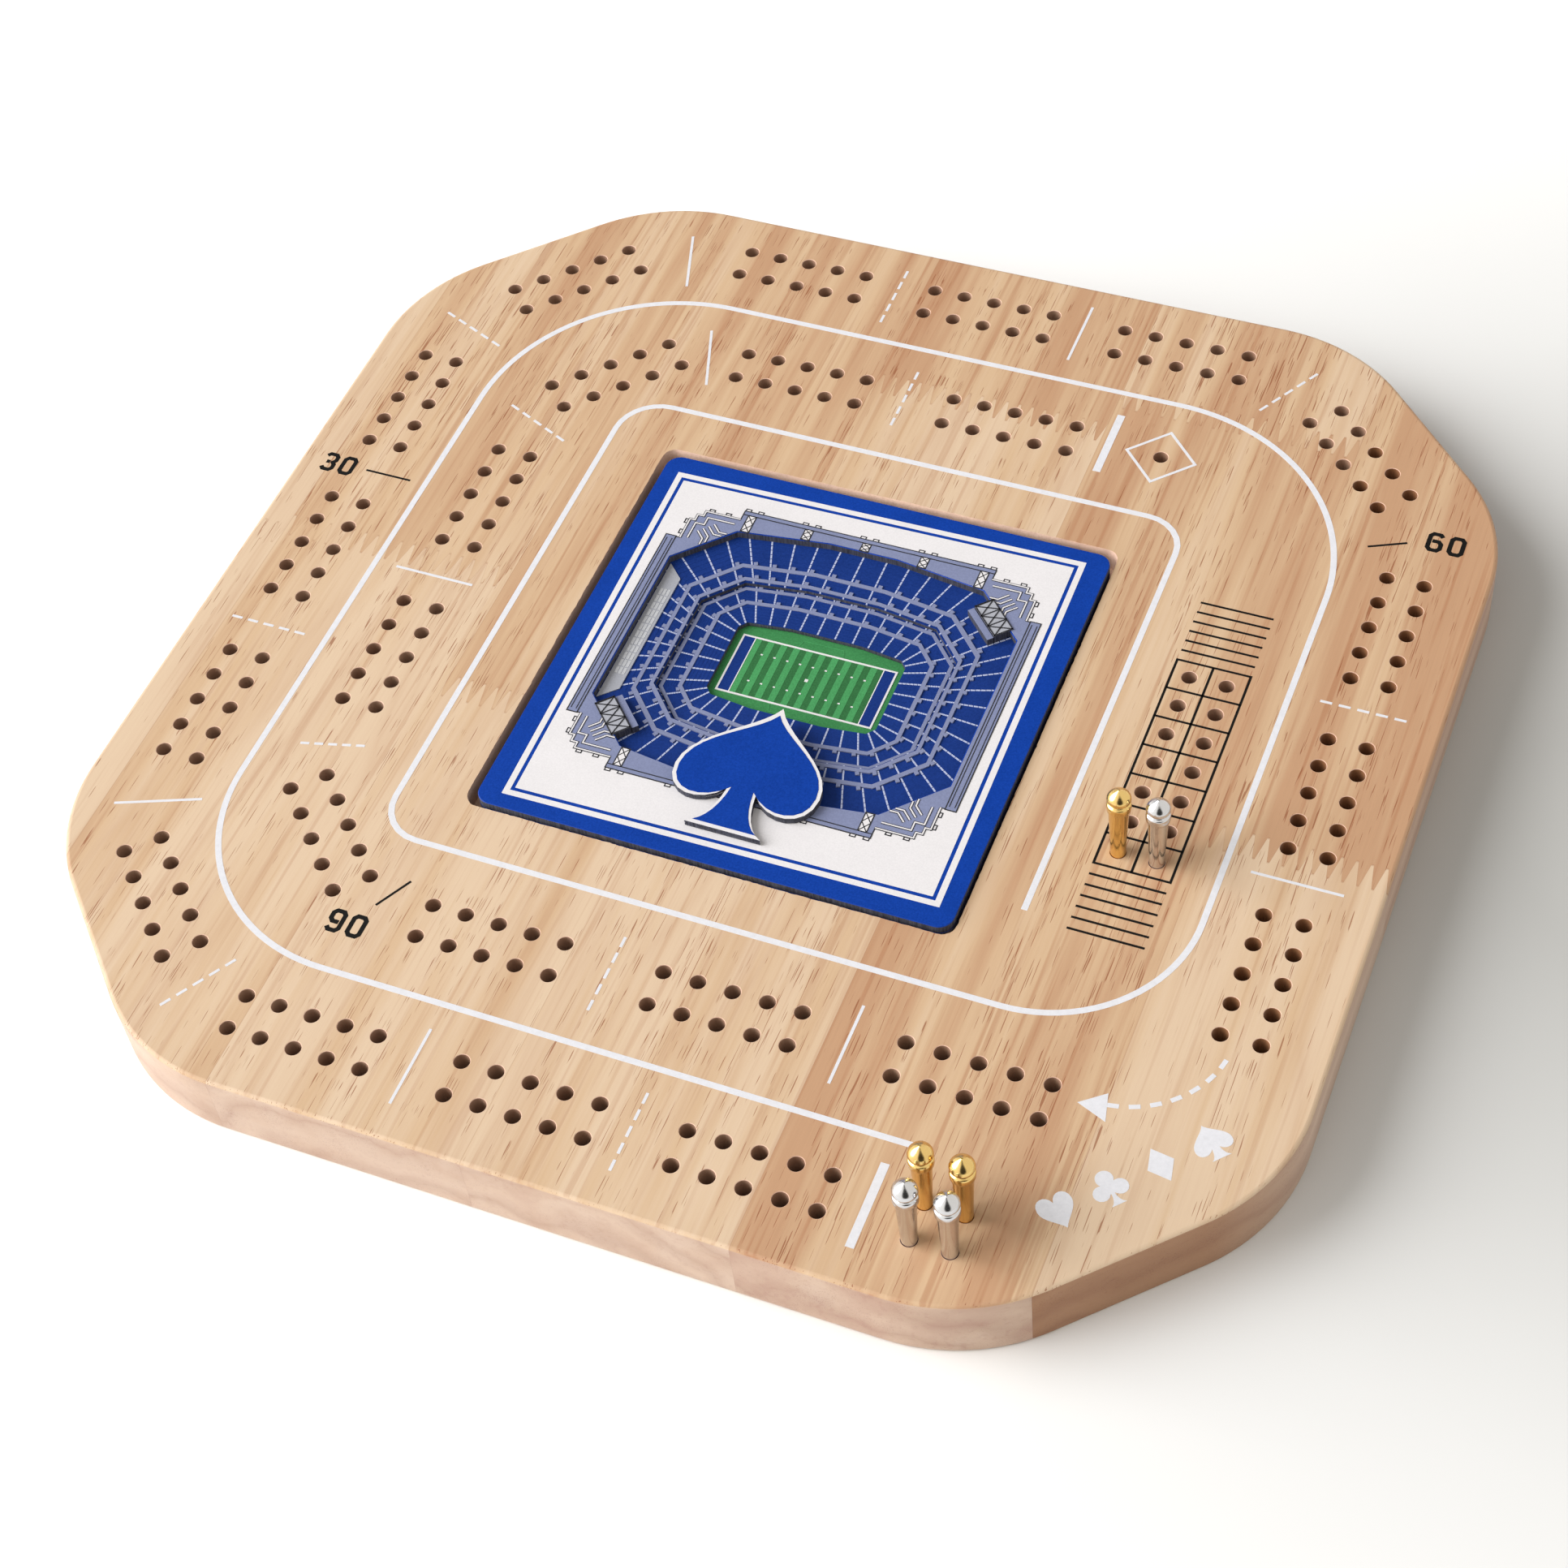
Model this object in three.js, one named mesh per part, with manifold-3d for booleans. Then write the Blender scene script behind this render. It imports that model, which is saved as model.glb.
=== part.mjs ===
// A continuous-track cribbage board, 256 mm across: a square wooden board with cut corners, two
// lanes of peg holes that wind twice round a layered medallion, six turned metal pegs standing in
// their holes, and a peg store in the underside behind a steel cover that swivels on a screw.
// Millimetres, +Z up. The origin is in the middle of the underside, and +Y is the far edge of the
// board as a player reads it.
import * as THREE from "three";
import { mergeGeometries, mergeVertices } from "three/addons/utils/BufferGeometryUtils.js";
import Module from "manifold-3d";

const wasm = await Module();
wasm.setup();

// ---------------------------------------------------------------- driving dimensions
const pitch = 7.1; // from one hole to the next along a lane; the layout is counted in pitches
const laneSpacing = 1.09 * pitch; // from one player's lane to the other
const boardHalf = 18 * pitch;
const boardThickness = 16;
const cornerLeg = 6.25 * pitch; // what each cut corner takes off the two sides
const outlineRadius = 40; // rounding where the cut corners meet the sides

const holeRadius = 1.6;
const holeDepth = 8.6;
const holeSides = 8;
const holesPerGroup = 5;

const layerGap = 0.2; // between pieces that lie on each other
const pocketHalf = 51.8; // square pocket for the medallion
const pocketRadius = 3;
const pocketCentre = [1.4, 0];
const medallionHalf = 50.4;
const medallionRadius = 3.2;
const medallionCentre = [2.1, -0.8];
const medallionProud = 1; // height of the medallion's frame above the board
const padThickness = 0.4;
const plateThickness = 1; // each thin layer of the medallion
const frameThickness = 1.8;
const bowlCentre = [0, 2.4]; // middle of the stadium, from the middle of the medallion
const emblemWidth = 30.9;
const emblemHeight = 32.4;
const emblemThickness = 1.5;
const emblemCentre = [0.7, -26.8]; // from the middle of the medallion

const pegLength = 27.5;
const pegTipClearance = 0.3; // between the tip and the bottom of the hole
const pegSides = 12;

const recessRadius = 47; // round recess in the underside, in which the cover turns
const coverThickness = 1.2;
const washerThickness = 0.5;
const screwHeadThickness = 0.9;
const coverWidth = 25;
const coverTail = 8; // from the screw to the cover's near end
const coverReach = 44.5; // from the screw to its far end
const screwRadius = 1.5;
const screwHeadRadius = 3.6;
const screwLength = 5.6;
const storeNear = 8; // the peg store's near end, from the screw
const storeLength = 34;
const storeWidth = 20;
const storeDepth = 5.6;

// ---------------------------------------------------------------- the track
// Each run is one or more groups of five hole pairs in a straight line: where the middle of the
// first group lies, which way the player travels, and how far apart the groups are, in pitches.
const trackRuns = [
  { first: [5.16, -15.7], heading: 180, groups: 3, spacing: 6.47 },
  { first: [-13.68, -12.95], heading: 135, groups: 1, spacing: 0 },
  { first: [-15.71, -6.29], heading: 90, groups: 3, spacing: 6.57 },
  { first: [-13, 13.57], heading: 45, groups: 1, spacing: 0 },
  { first: [-6.01, 15.9], heading: 0, groups: 3, spacing: 6.36 },
  { first: [13.08, 13.16], heading: -45, groups: 1, spacing: 0 },
  { first: [15.63, 6.72], heading: -90, groups: 3, spacing: 6.34 },
  { first: [9.51, -11.36], heading: 180, groups: 3, spacing: 6.9 },
  { first: [-10.22, -9.44], heading: 135, groups: 1, spacing: 0 },
  { first: [-11.6, -2.93], heading: 90, groups: 2, spacing: 6.62 },
  { first: [-9.94, 9.83], heading: 45, groups: 1, spacing: 0 },
  { first: [-4.28, 11.41], heading: 0, groups: 2, spacing: 6.89 },
];
const finishHole = [7.43, 11.45];
const startColumns = [9.61, 10.69];
const startRows = [-15.15, -16.24];
const tallyColumns = [10.8, 11.89];
const tallyTop = 3.35;
const tallyStep = 1.09;
const tallyRows = 7;

// ---------------------------------------------------------------- finishes
const wood = { color: 0xd9b38c, roughness: 0.5, metalness: 0 };
const printedBlue = { color: 0x1238a0, roughness: 0.35, metalness: 0 };
const seatBlue = { color: 0x16308a, roughness: 0.5, metalness: 0 };
const turf = { color: 0x2f7d3f, roughness: 0.6, metalness: 0 };
const adhesive = { color: 0xe8e6df, roughness: 0.8, metalness: 0 };
const goldPlate = { color: 0xd9a94a, roughness: 0.2, metalness: 1 };
const nickelPlate = { color: 0xc9ccd0, roughness: 0.18, metalness: 1 };
const coverSteel = { color: 0xb4b6b8, roughness: 0.35, metalness: 1 };

// ---------------------------------------------------------------- helpers
function scaled(points, factor) {
  return points.map(([x, y]) => [x * factor, y * factor]);
}

// The same corner in all four quarters, anticlockwise from the right-hand side.
function fourfold(quarter) {
  const left = quarter.map(([x, y]) => [-x, y]).reverse();
  const upper = [...quarter, ...left];
  const lower = upper.map(([x, y]) => [-x, -y]);
  return [...upper, ...lower];
}

// A convex anticlockwise outline with every corner rounded to the same radius.
function roundedOutline(points, radius) {
  const corners = points.map(([x, y]) => new THREE.Vector2(x, y));
  const outline = new THREE.Shape();
  corners.forEach((corner, index) => {
    const before = corners.at(index - 1);
    const after = corners[(index + 1) % corners.length];
    const arriving = corner.clone().sub(before).normalize();
    const leaving = after.clone().sub(corner).normalize();
    const turn = Math.acos(arriving.dot(leaving));
    const inward = new THREE.Vector2(-arriving.y, arriving.x);
    const arcStart = corner.clone().addScaledVector(arriving, -radius * Math.tan(turn / 2));
    const middle = arcStart.addScaledVector(inward, radius);
    const startAngle = Math.atan2(-inward.y, -inward.x);
    outline.absarc(middle.x, middle.y, radius, startAngle, startAngle + turn, false);
  });
  return outline;
}

function straightOutline(points) {
  return new THREE.Shape(points.map(([x, y]) => new THREE.Vector2(x, y)));
}

function squareOutline(half, radius) {
  return roundedOutline(fourfold([[half, half]]), radius);
}

// A flat plate: an outline in plan, from height bottom to height top.
function plate(outline, bottom, top, arcSteps = 2) {
  const depth = top - bottom;
  const geometry = new THREE.ExtrudeGeometry(outline, {
    depth,
    bevelEnabled: false,
    curveSegments: arcSteps,
  });
  return geometry.translate(0, 0, bottom);
}

// A round post of the given radius, measured to its flats.
function post(radius, bottom, top, sides) {
  const cornerRadius = radius / Math.cos(Math.PI / sides);
  const geometry = new THREE.CylinderGeometry(cornerRadius, cornerRadius, top - bottom, sides);
  return geometry.rotateX(Math.PI / 2).translate(0, 0, (bottom + top) / 2);
}

function toSolid(geometry) {
  const bare = geometry.clone();
  bare.deleteAttribute("normal");
  bare.deleteAttribute("uv");
  const welded = mergeVertices(bare);
  return new wasm.Manifold(
    new wasm.Mesh({
      numProp: 3,
      vertProperties: welded.attributes.position.array,
      triVerts: Uint32Array.from(welded.index.array),
    }),
  );
}

function toGeometry(solid) {
  const mesh = solid.getMesh();
  const geometry = new THREE.BufferGeometry();
  geometry.setAttribute("position", new THREE.BufferAttribute(mesh.vertProperties, 3));
  geometry.setIndex(new THREE.BufferAttribute(mesh.triVerts, 1));
  geometry.computeVertexNormals();
  return geometry;
}

function cut(body, ...tools) {
  const remaining = tools.reduce((solid, tool) => solid.subtract(toSolid(tool)), toSolid(body));
  return toGeometry(remaining);
}

function piece(name, geometry, finish) {
  const mesh = new THREE.Mesh(geometry, new THREE.MeshStandardMaterial(finish));
  mesh.name = name;
  return mesh;
}

// ---------------------------------------------------------------- heights
const boardTop = boardThickness;
const holeBottom = boardTop - holeDepth;
const emblemBottom = boardTop + medallionProud + layerGap;
const frameBottom = boardTop + medallionProud - frameThickness;
const upperDeckBottom = frameBottom - layerGap - plateThickness;
const lowerDeckBottom = upperDeckBottom - layerGap - plateThickness;
const fieldBottom = lowerDeckBottom - layerGap - plateThickness;
const padBottom = fieldBottom - layerGap - padThickness;
const pocketFloor = padBottom - layerGap;
const screwHeadBottom = layerGap;
const coverBottom = screwHeadBottom + screwHeadThickness + layerGap;
const washerBottom = coverBottom + coverThickness + layerGap;
const recessRoof = washerBottom + washerThickness + layerGap;

// ---------------------------------------------------------------- peg holes
function groupHoles(run, groupIndex) {
  const angle = THREE.MathUtils.degToRad(run.heading);
  const along = new THREE.Vector2(Math.cos(angle), Math.sin(angle));
  const across = new THREE.Vector2(-along.y, along.x);
  const middle = new THREE.Vector2(...run.first).addScaledVector(along, groupIndex * run.spacing);
  middle.multiplyScalar(pitch);
  const holes = [];
  for (let hole = 0; hole < holesPerGroup; hole += 1) {
    const step = (hole - (holesPerGroup - 1) / 2) * pitch;
    for (const side of [-0.5, 0.5]) {
      const place = middle.clone().addScaledVector(along, step);
      place.addScaledVector(across, side * laneSpacing);
      holes.push([place.x, place.y]);
    }
  }
  return holes;
}

function grid(columns, rows) {
  return rows.flatMap((y) => columns.map((x) => [x * pitch, y * pitch]));
}

const tallyLevels = Array.from({ length: tallyRows }, (_, row) => tallyTop - row * tallyStep);
const trackHoles = trackRuns.flatMap((run) =>
  Array.from({ length: run.groups }, (_, index) => groupHoles(run, index)).flat(),
);
const holePlaces = [
  ...trackHoles,
  ...grid([finishHole[0]], [finishHole[1]]),
  ...grid(startColumns, startRows),
  ...grid(tallyColumns, tallyLevels),
];

// ---------------------------------------------------------------- board
function makeBoard() {
  const cutLine = boardHalf - cornerLeg;
  const outline = roundedOutline(
    fourfold([
      [boardHalf, cutLine],
      [cutLine, boardHalf],
    ]),
    outlineRadius,
  );
  const blank = plate(outline, 0, boardTop);
  const drill = post(holeRadius, holeBottom, boardTop + 1, holeSides);
  const drills = mergeGeometries(holePlaces.map(([x, y]) => drill.clone().translate(x, y, 0)));
  const pocket = plate(squareOutline(pocketHalf, pocketRadius), pocketFloor, boardTop + 1);
  pocket.translate(...pocketCentre, 0);
  const recess = post(recessRadius, -1, recessRoof, 48);
  const store = new THREE.BoxGeometry(storeLength, storeWidth, storeDepth + 1);
  store.translate(storeNear + storeLength / 2, 0, recessRoof + (storeDepth - 1) / 2);
  const pilotHole = post(screwRadius + 0.3, recessRoof - 1, screwHeadBottom + screwLength + 1, 12);
  return piece("board", cut(blank, drills, pocket, recess, store, pilotHole), wood);
}

// ---------------------------------------------------------------- medallion
// The bowl of the stadium narrows downwards. Each outline is its corner in one quarter, in pitches.
const frameOpening = fourfold([
  [5.45, 2.8],
  [3.9, 4.35],
  [1.1, 4.72],
]);
const upperDeckOpening = fourfold([
  [4, 1.7],
  [3, 2.75],
  [1.1, 3],
]);
const lowerDeckOpening = fourfold([
  [2.62, 1.2],
  [2.4, 1.45],
  [1.1, 1.6],
]);

function squareLayer(name, bottom, thickness, finish, opening) {
  const top = bottom + thickness;
  let layer = plate(squareOutline(medallionHalf, medallionRadius), bottom, top);
  if (opening) {
    const bowl = plate(straightOutline(scaled(opening, pitch)), bottom - 1, top + 1);
    layer = cut(layer, bowl.translate(...bowlCentre, 0));
  }
  return piece(name, layer, finish);
}

// A playing-card spade: pointed at the top, two lobes, and a stem that flares to a flat foot.
function makeEmblem() {
  const x = (fraction) => fraction * emblemWidth;
  const y = (fraction) => fraction * emblemHeight;
  const spade = new THREE.Shape();
  spade.moveTo(x(-0.26), y(-0.5));
  spade.lineTo(x(0.26), y(-0.5));
  spade.quadraticCurveTo(x(0.12), y(-0.44), x(0.1), y(-0.19));
  spade.bezierCurveTo(x(0.22), y(-0.36), x(0.5), y(-0.34), x(0.5), y(-0.1));
  spade.bezierCurveTo(x(0.5), y(0.16), x(0.1), y(0.3), x(0), y(0.5));
  spade.bezierCurveTo(x(-0.1), y(0.3), x(-0.5), y(0.16), x(-0.5), y(-0.1));
  spade.bezierCurveTo(x(-0.5), y(-0.34), x(-0.22), y(-0.36), x(-0.1), y(-0.19));
  spade.quadraticCurveTo(x(-0.12), y(-0.44), x(-0.26), y(-0.5));
  const body = plate(spade, emblemBottom, emblemBottom + emblemThickness, 6);
  return piece("spade_emblem", body.translate(...emblemCentre, 0), printedBlue);
}

function makeMedallion() {
  const medallion = new THREE.Group();
  medallion.add(
    squareLayer("adhesive_pad", padBottom, padThickness, adhesive),
    squareLayer("field_plate", fieldBottom, plateThickness, turf),
    squareLayer("lower_deck", lowerDeckBottom, plateThickness, seatBlue, lowerDeckOpening),
    squareLayer("upper_deck", upperDeckBottom, plateThickness, seatBlue, upperDeckOpening),
    squareLayer("medallion_frame", frameBottom, frameThickness, printedBlue, frameOpening),
    makeEmblem(),
  );
  medallion.position.set(...medallionCentre, 0);
  return medallion;
}

// ---------------------------------------------------------------- pegs
// Half section of a peg, from the middle of its tip to the middle of its head: radius and height
// above the tip. A slender taper carries a ring collar, a groove and a domed, pointed cap.
const pegSection = [
  [0, 0],
  [0.9, 0.15],
  [1.25, 0.7],
  [1.42, 8.3],
  [2.05, pegLength - 5.6],
  [2.35, pegLength - 5.3],
  [2.35, pegLength - 3.7],
  [1.85, pegLength - 3.1],
  [2.37, pegLength - 2.4],
  [2.3, pegLength - 1.7],
  [1.3, pegLength - 0.6],
  [0, pegLength],
];

function makePeg(name, finish, column, row) {
  const profile = pegSection.map(([radius, height]) => new THREE.Vector2(radius, height));
  const geometry = new THREE.LatheGeometry(profile, pegSides).rotateX(Math.PI / 2);
  const peg = piece(name, geometry, finish);
  peg.position.set(column * pitch, row * pitch, holeBottom + pegTipClearance);
  return peg;
}

function makePegs() {
  const tallyBottom = tallyLevels.at(-1);
  return [
    makePeg("gold_peg_rear", goldPlate, startColumns[1], startRows[0]),
    makePeg("gold_peg_front", goldPlate, startColumns[0], startRows[0]),
    makePeg("silver_peg_rear", nickelPlate, startColumns[1], startRows[1]),
    makePeg("silver_peg_front", nickelPlate, startColumns[0], startRows[1]),
    makePeg("gold_tally_peg", goldPlate, tallyColumns[0], tallyBottom),
    makePeg("silver_tally_peg", nickelPlate, tallyColumns[1], tallyBottom),
  ];
}

// ---------------------------------------------------------------- peg store cover
function makeStorageCover() {
  const side = coverWidth / 2;
  const outline = roundedOutline(
    [
      [coverReach, -side],
      [coverReach, side],
      [-coverTail, side],
      [-coverTail, -side],
    ],
    5,
  );
  const sheet = plate(outline, coverBottom, coverBottom + coverThickness);
  const pivotHole = post(screwRadius + 0.5, coverBottom - 1, coverBottom + coverThickness + 1, 16);
  return piece("storage_cover", cut(sheet, pivotHole), coverSteel);
}

function makeCoverWasher() {
  const ring = post(4, washerBottom, washerBottom + washerThickness, 20);
  const bore = post(screwRadius + 0.5, washerBottom - 1, washerBottom + washerThickness + 1, 16);
  return piece("cover_washer", cut(ring, bore), coverSteel);
}

// A low-headed screw, head down, with a crossed recess in the head and a short point.
function makeCoverScrew() {
  const headTop = screwHeadThickness;
  const section = [
    [0, 0],
    [screwHeadRadius * 0.8, 0],
    [screwHeadRadius, headTop * 0.5],
    [screwHeadRadius, headTop],
    [screwRadius, headTop],
    [screwRadius, screwLength - 1.2],
    [0, screwLength],
  ];
  const profile = section.map(([radius, height]) => new THREE.Vector2(radius, height));
  const body = new THREE.LatheGeometry(profile, 16).rotateX(Math.PI / 2);
  const slot = new THREE.BoxGeometry(4, 0.8, 1);
  const crossSlot = slot.clone().rotateZ(Math.PI / 2);
  const screw = piece("cover_screw", cut(body, slot, crossSlot), coverSteel);
  screw.position.z = screwHeadBottom;
  return screw;
}

// ---------------------------------------------------------------- assembly
const cribbageBoard = new THREE.Group();
cribbageBoard.add(
  makeBoard(),
  makeMedallion(),
  ...makePegs(),
  makeStorageCover(),
  makeCoverWasher(),
  makeCoverScrew(),
);

export default cribbageBoard;
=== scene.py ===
"""The looks of a cribbage board: a wooden board with two lanes of drilled holes, printed track marks,
a layered medallion in a square pocket, six turned metal pegs and a swivel cover underneath."""

import math

import bmesh
import bpy
from mathutils import Matrix, Vector, geometry, noise


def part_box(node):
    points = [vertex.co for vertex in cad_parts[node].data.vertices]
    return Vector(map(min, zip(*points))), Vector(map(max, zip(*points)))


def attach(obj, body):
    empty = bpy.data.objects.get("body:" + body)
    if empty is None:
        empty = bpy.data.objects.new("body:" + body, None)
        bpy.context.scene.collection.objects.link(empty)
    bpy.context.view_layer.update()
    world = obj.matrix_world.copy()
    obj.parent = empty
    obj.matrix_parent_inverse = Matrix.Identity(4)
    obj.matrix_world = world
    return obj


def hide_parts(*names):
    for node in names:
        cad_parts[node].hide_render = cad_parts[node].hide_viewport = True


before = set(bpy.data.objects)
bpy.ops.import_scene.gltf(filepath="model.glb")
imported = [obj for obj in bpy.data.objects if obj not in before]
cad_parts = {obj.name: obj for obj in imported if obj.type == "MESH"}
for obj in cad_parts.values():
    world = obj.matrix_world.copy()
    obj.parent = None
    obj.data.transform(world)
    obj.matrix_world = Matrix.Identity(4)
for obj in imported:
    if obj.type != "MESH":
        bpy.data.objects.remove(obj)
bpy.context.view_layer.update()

MM = 0.001

# ------------------------------------------------------------------ sizes
# Taken from the frame where the frame has them. Lengths are in metres; the layout of the holes and
# the printed marks is counted in hole pitches.
BOARD_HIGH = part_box("board")[1]
TOP = BOARD_HIGH.z
HALF = BOARD_HIGH.x
PITCH = HALF / 18
LANE_SPACING = 1.09  # in pitches
CORNER_LEG = 6.25 * PITCH
OUTLINE_RADIUS = 40 * MM
EDGE_ROUNDING = 0.9 * MM
HOLE_RADIUS = 1.6 * MM
HOLE_DEPTH = 8.6 * MM
HOLE_CHAMFER = 0.1 * MM
HOLES_PER_GROUP = 5
HOLE_STEPS = 28
INK_FILM = 0.03 * MM  # one layer of ink

POCKET_HALF = 51.8 * MM
POCKET_RADIUS = 3 * MM
POCKET_CENTRE = Vector((1.4, 0)) * MM
POCKET_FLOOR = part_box("adhesive_pad")[0].z - 0.2 * MM
POCKET_STEP = 0.7 * MM  # between the points of its outline
# How far the pocket's far wall leans out, at each depth below the board's top, in millimetres.
POCKET_WALL = [(0.55, 0), (0.3, 0.3), (0.08, 0.9), (0, 1.6), (0, 2.4), (0, 3.4)]

WASHER_LOW, WASHER_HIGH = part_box("cover_washer")
COVER_RADIUS = 5 * MM
SCREW_BORE = 2 * MM
RECESS_RADIUS = 47 * MM
RECESS_CHAMFER = 0.4 * MM
RECESS_ROOF = WASHER_HIGH.z + 0.2 * MM
STORE_NEAR = 8 * MM
STORE_LENGTH = 34 * MM
STORE_WIDTH = 20 * MM
STORE_DEPTH = 5.6 * MM
STORE_RADIUS = 2.5 * MM
PILOT_RADIUS = 1.8 * MM
PILOT_TOP = 6.8 * MM

FRAME_LOW, FRAME_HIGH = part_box("medallion_frame")
FRAME_TOP = FRAME_HIGH.z
DECK_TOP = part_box("upper_deck")[1].z
MEDALLION_CENTRE = (FRAME_LOW + FRAME_HIGH).xy / 2
MEDALLION_HALF = (FRAME_HIGH.x - FRAME_LOW.x) / 2
MEDALLION_RADIUS = 3.2 * MM
BOWL_CENTRE = MEDALLION_CENTRE + Vector((0, 2.4)) * MM

# Runs of hole groups: the middle of the first group, the player's heading in degrees, how many
# groups there are and how far apart they lie.
TRACK_RUNS = [
    ((5.16, -15.7), 180, 3, 6.47),
    ((-13.68, -12.95), 135, 1, 0),
    ((-15.71, -6.29), 90, 3, 6.57),
    ((-13, 13.57), 45, 1, 0),
    ((-6.01, 15.9), 0, 3, 6.36),
    ((13.08, 13.16), -45, 1, 0),
    ((15.63, 6.72), -90, 3, 6.34),
    ((9.51, -11.36), 180, 3, 6.9),
    ((-10.22, -9.44), 135, 1, 0),
    ((-11.6, -2.93), 90, 2, 6.62),
    ((-9.94, 9.83), 45, 1, 0),
    ((-4.28, 11.41), 0, 2, 6.89),
]
FINISH_HOLE = (7.43, 11.45)
START_COLUMNS = (9.61, 10.69)
START_ROWS = (-15.15, -16.24)
TALLY_COLUMNS = (10.8, 11.89)
TALLY_TOP = 3.35
TALLY_STEP = 1.09
TALLY_ROWS = 7


# ------------------------------------------------------------------ plane geometry
def fourfold(quarter):
    """The corner points of one quarter, repeated in all four, anticlockwise."""
    upper = list(quarter) + [(-x, y) for x, y in reversed(quarter)]
    return upper + [(-x, -y) for x, y in upper]


def rectangle(x_a, x_b, y_a, y_b):
    """An anticlockwise rectangle between two values of x and two of y, in any order."""
    left, right = sorted((x_a, x_b))
    near, far = sorted((y_a, y_b))
    return [(left, near), (right, near), (right, far), (left, far)]


def arc(centre, radius, start, turn, steps):
    """Points on an arc, both ends included, from an angle through a turn in radians."""
    angles = [start + turn * step / steps for step in range(steps + 1)]
    return [Vector(centre) + Vector((math.cos(a), math.sin(a))) * radius for a in angles]


def circle(centre, radius, steps):
    return arc(centre, radius, 0, 2 * math.pi, steps)[:-1]


def corner_arc(before, corner, after, radius, steps):
    """The arc that rounds a corner between the places before and after it."""
    back = (Vector(before) - Vector(corner)).normalized()
    forth = (Vector(after) - Vector(corner)).normalized()
    half_angle = math.acos(max(-1, min(1, back.dot(forth)))) / 2
    start = back * radius / math.tan(half_angle)
    middle = (back + forth).normalized() * radius / math.sin(half_angle)
    turn = math.pi - 2 * half_angle
    if back.cross(forth) > 0:
        turn = -turn
    first = math.atan2(start.y - middle.y, start.x - middle.x)
    return arc(Vector(corner) + middle, radius, first, turn, steps)


def rounded_outline(corners, radius, steps):
    """A closed outline with every corner rounded to the same radius."""
    points = []
    for index, corner in enumerate(corners):
        after = corners[(index + 1) % len(corners)]
        points += corner_arc(corners[index - 1], corner, after, radius, steps)
    return points


def rounded_path(corners, radii):
    """An open line with each of its inner corners rounded to its own radius."""
    points = [Vector(corners[0])]
    for before, corner, after, radius in zip(corners, corners[1:], corners[2:], radii):
        points += corner_arc(before, corner, after, radius, max(6, round(radius * 5)))
    return points + [Vector(corners[-1])]


def rounded_rectangle(half_x, half_y, radius, steps, centre):
    corners = [Vector(corner) + Vector(centre) for corner in fourfold([(half_x, half_y)])]
    return rounded_outline(corners, radius, steps)


def bezier(start, control_1, control_2, end, steps):
    """Points along a cubic curve, without the first one."""
    points = []
    for step in range(1, steps + 1):
        t = step / steps
        s = 1 - t
        point = Vector(start) * s**3 + Vector(control_1) * 3 * s * s * t
        point += Vector(control_2) * 3 * s * t * t + Vector(end) * t**3
        points.append(point)
    return points


def resampled(points, step):
    """A closed outline with points added so that none is further than step from the next."""
    result = []
    for start, end in zip(points, points[1:] + points[:1]):
        pieces = max(1, math.ceil((end - start).length / step))
        result += [start.lerp(end, piece / pieces) for piece in range(pieces)]
    return result


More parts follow.
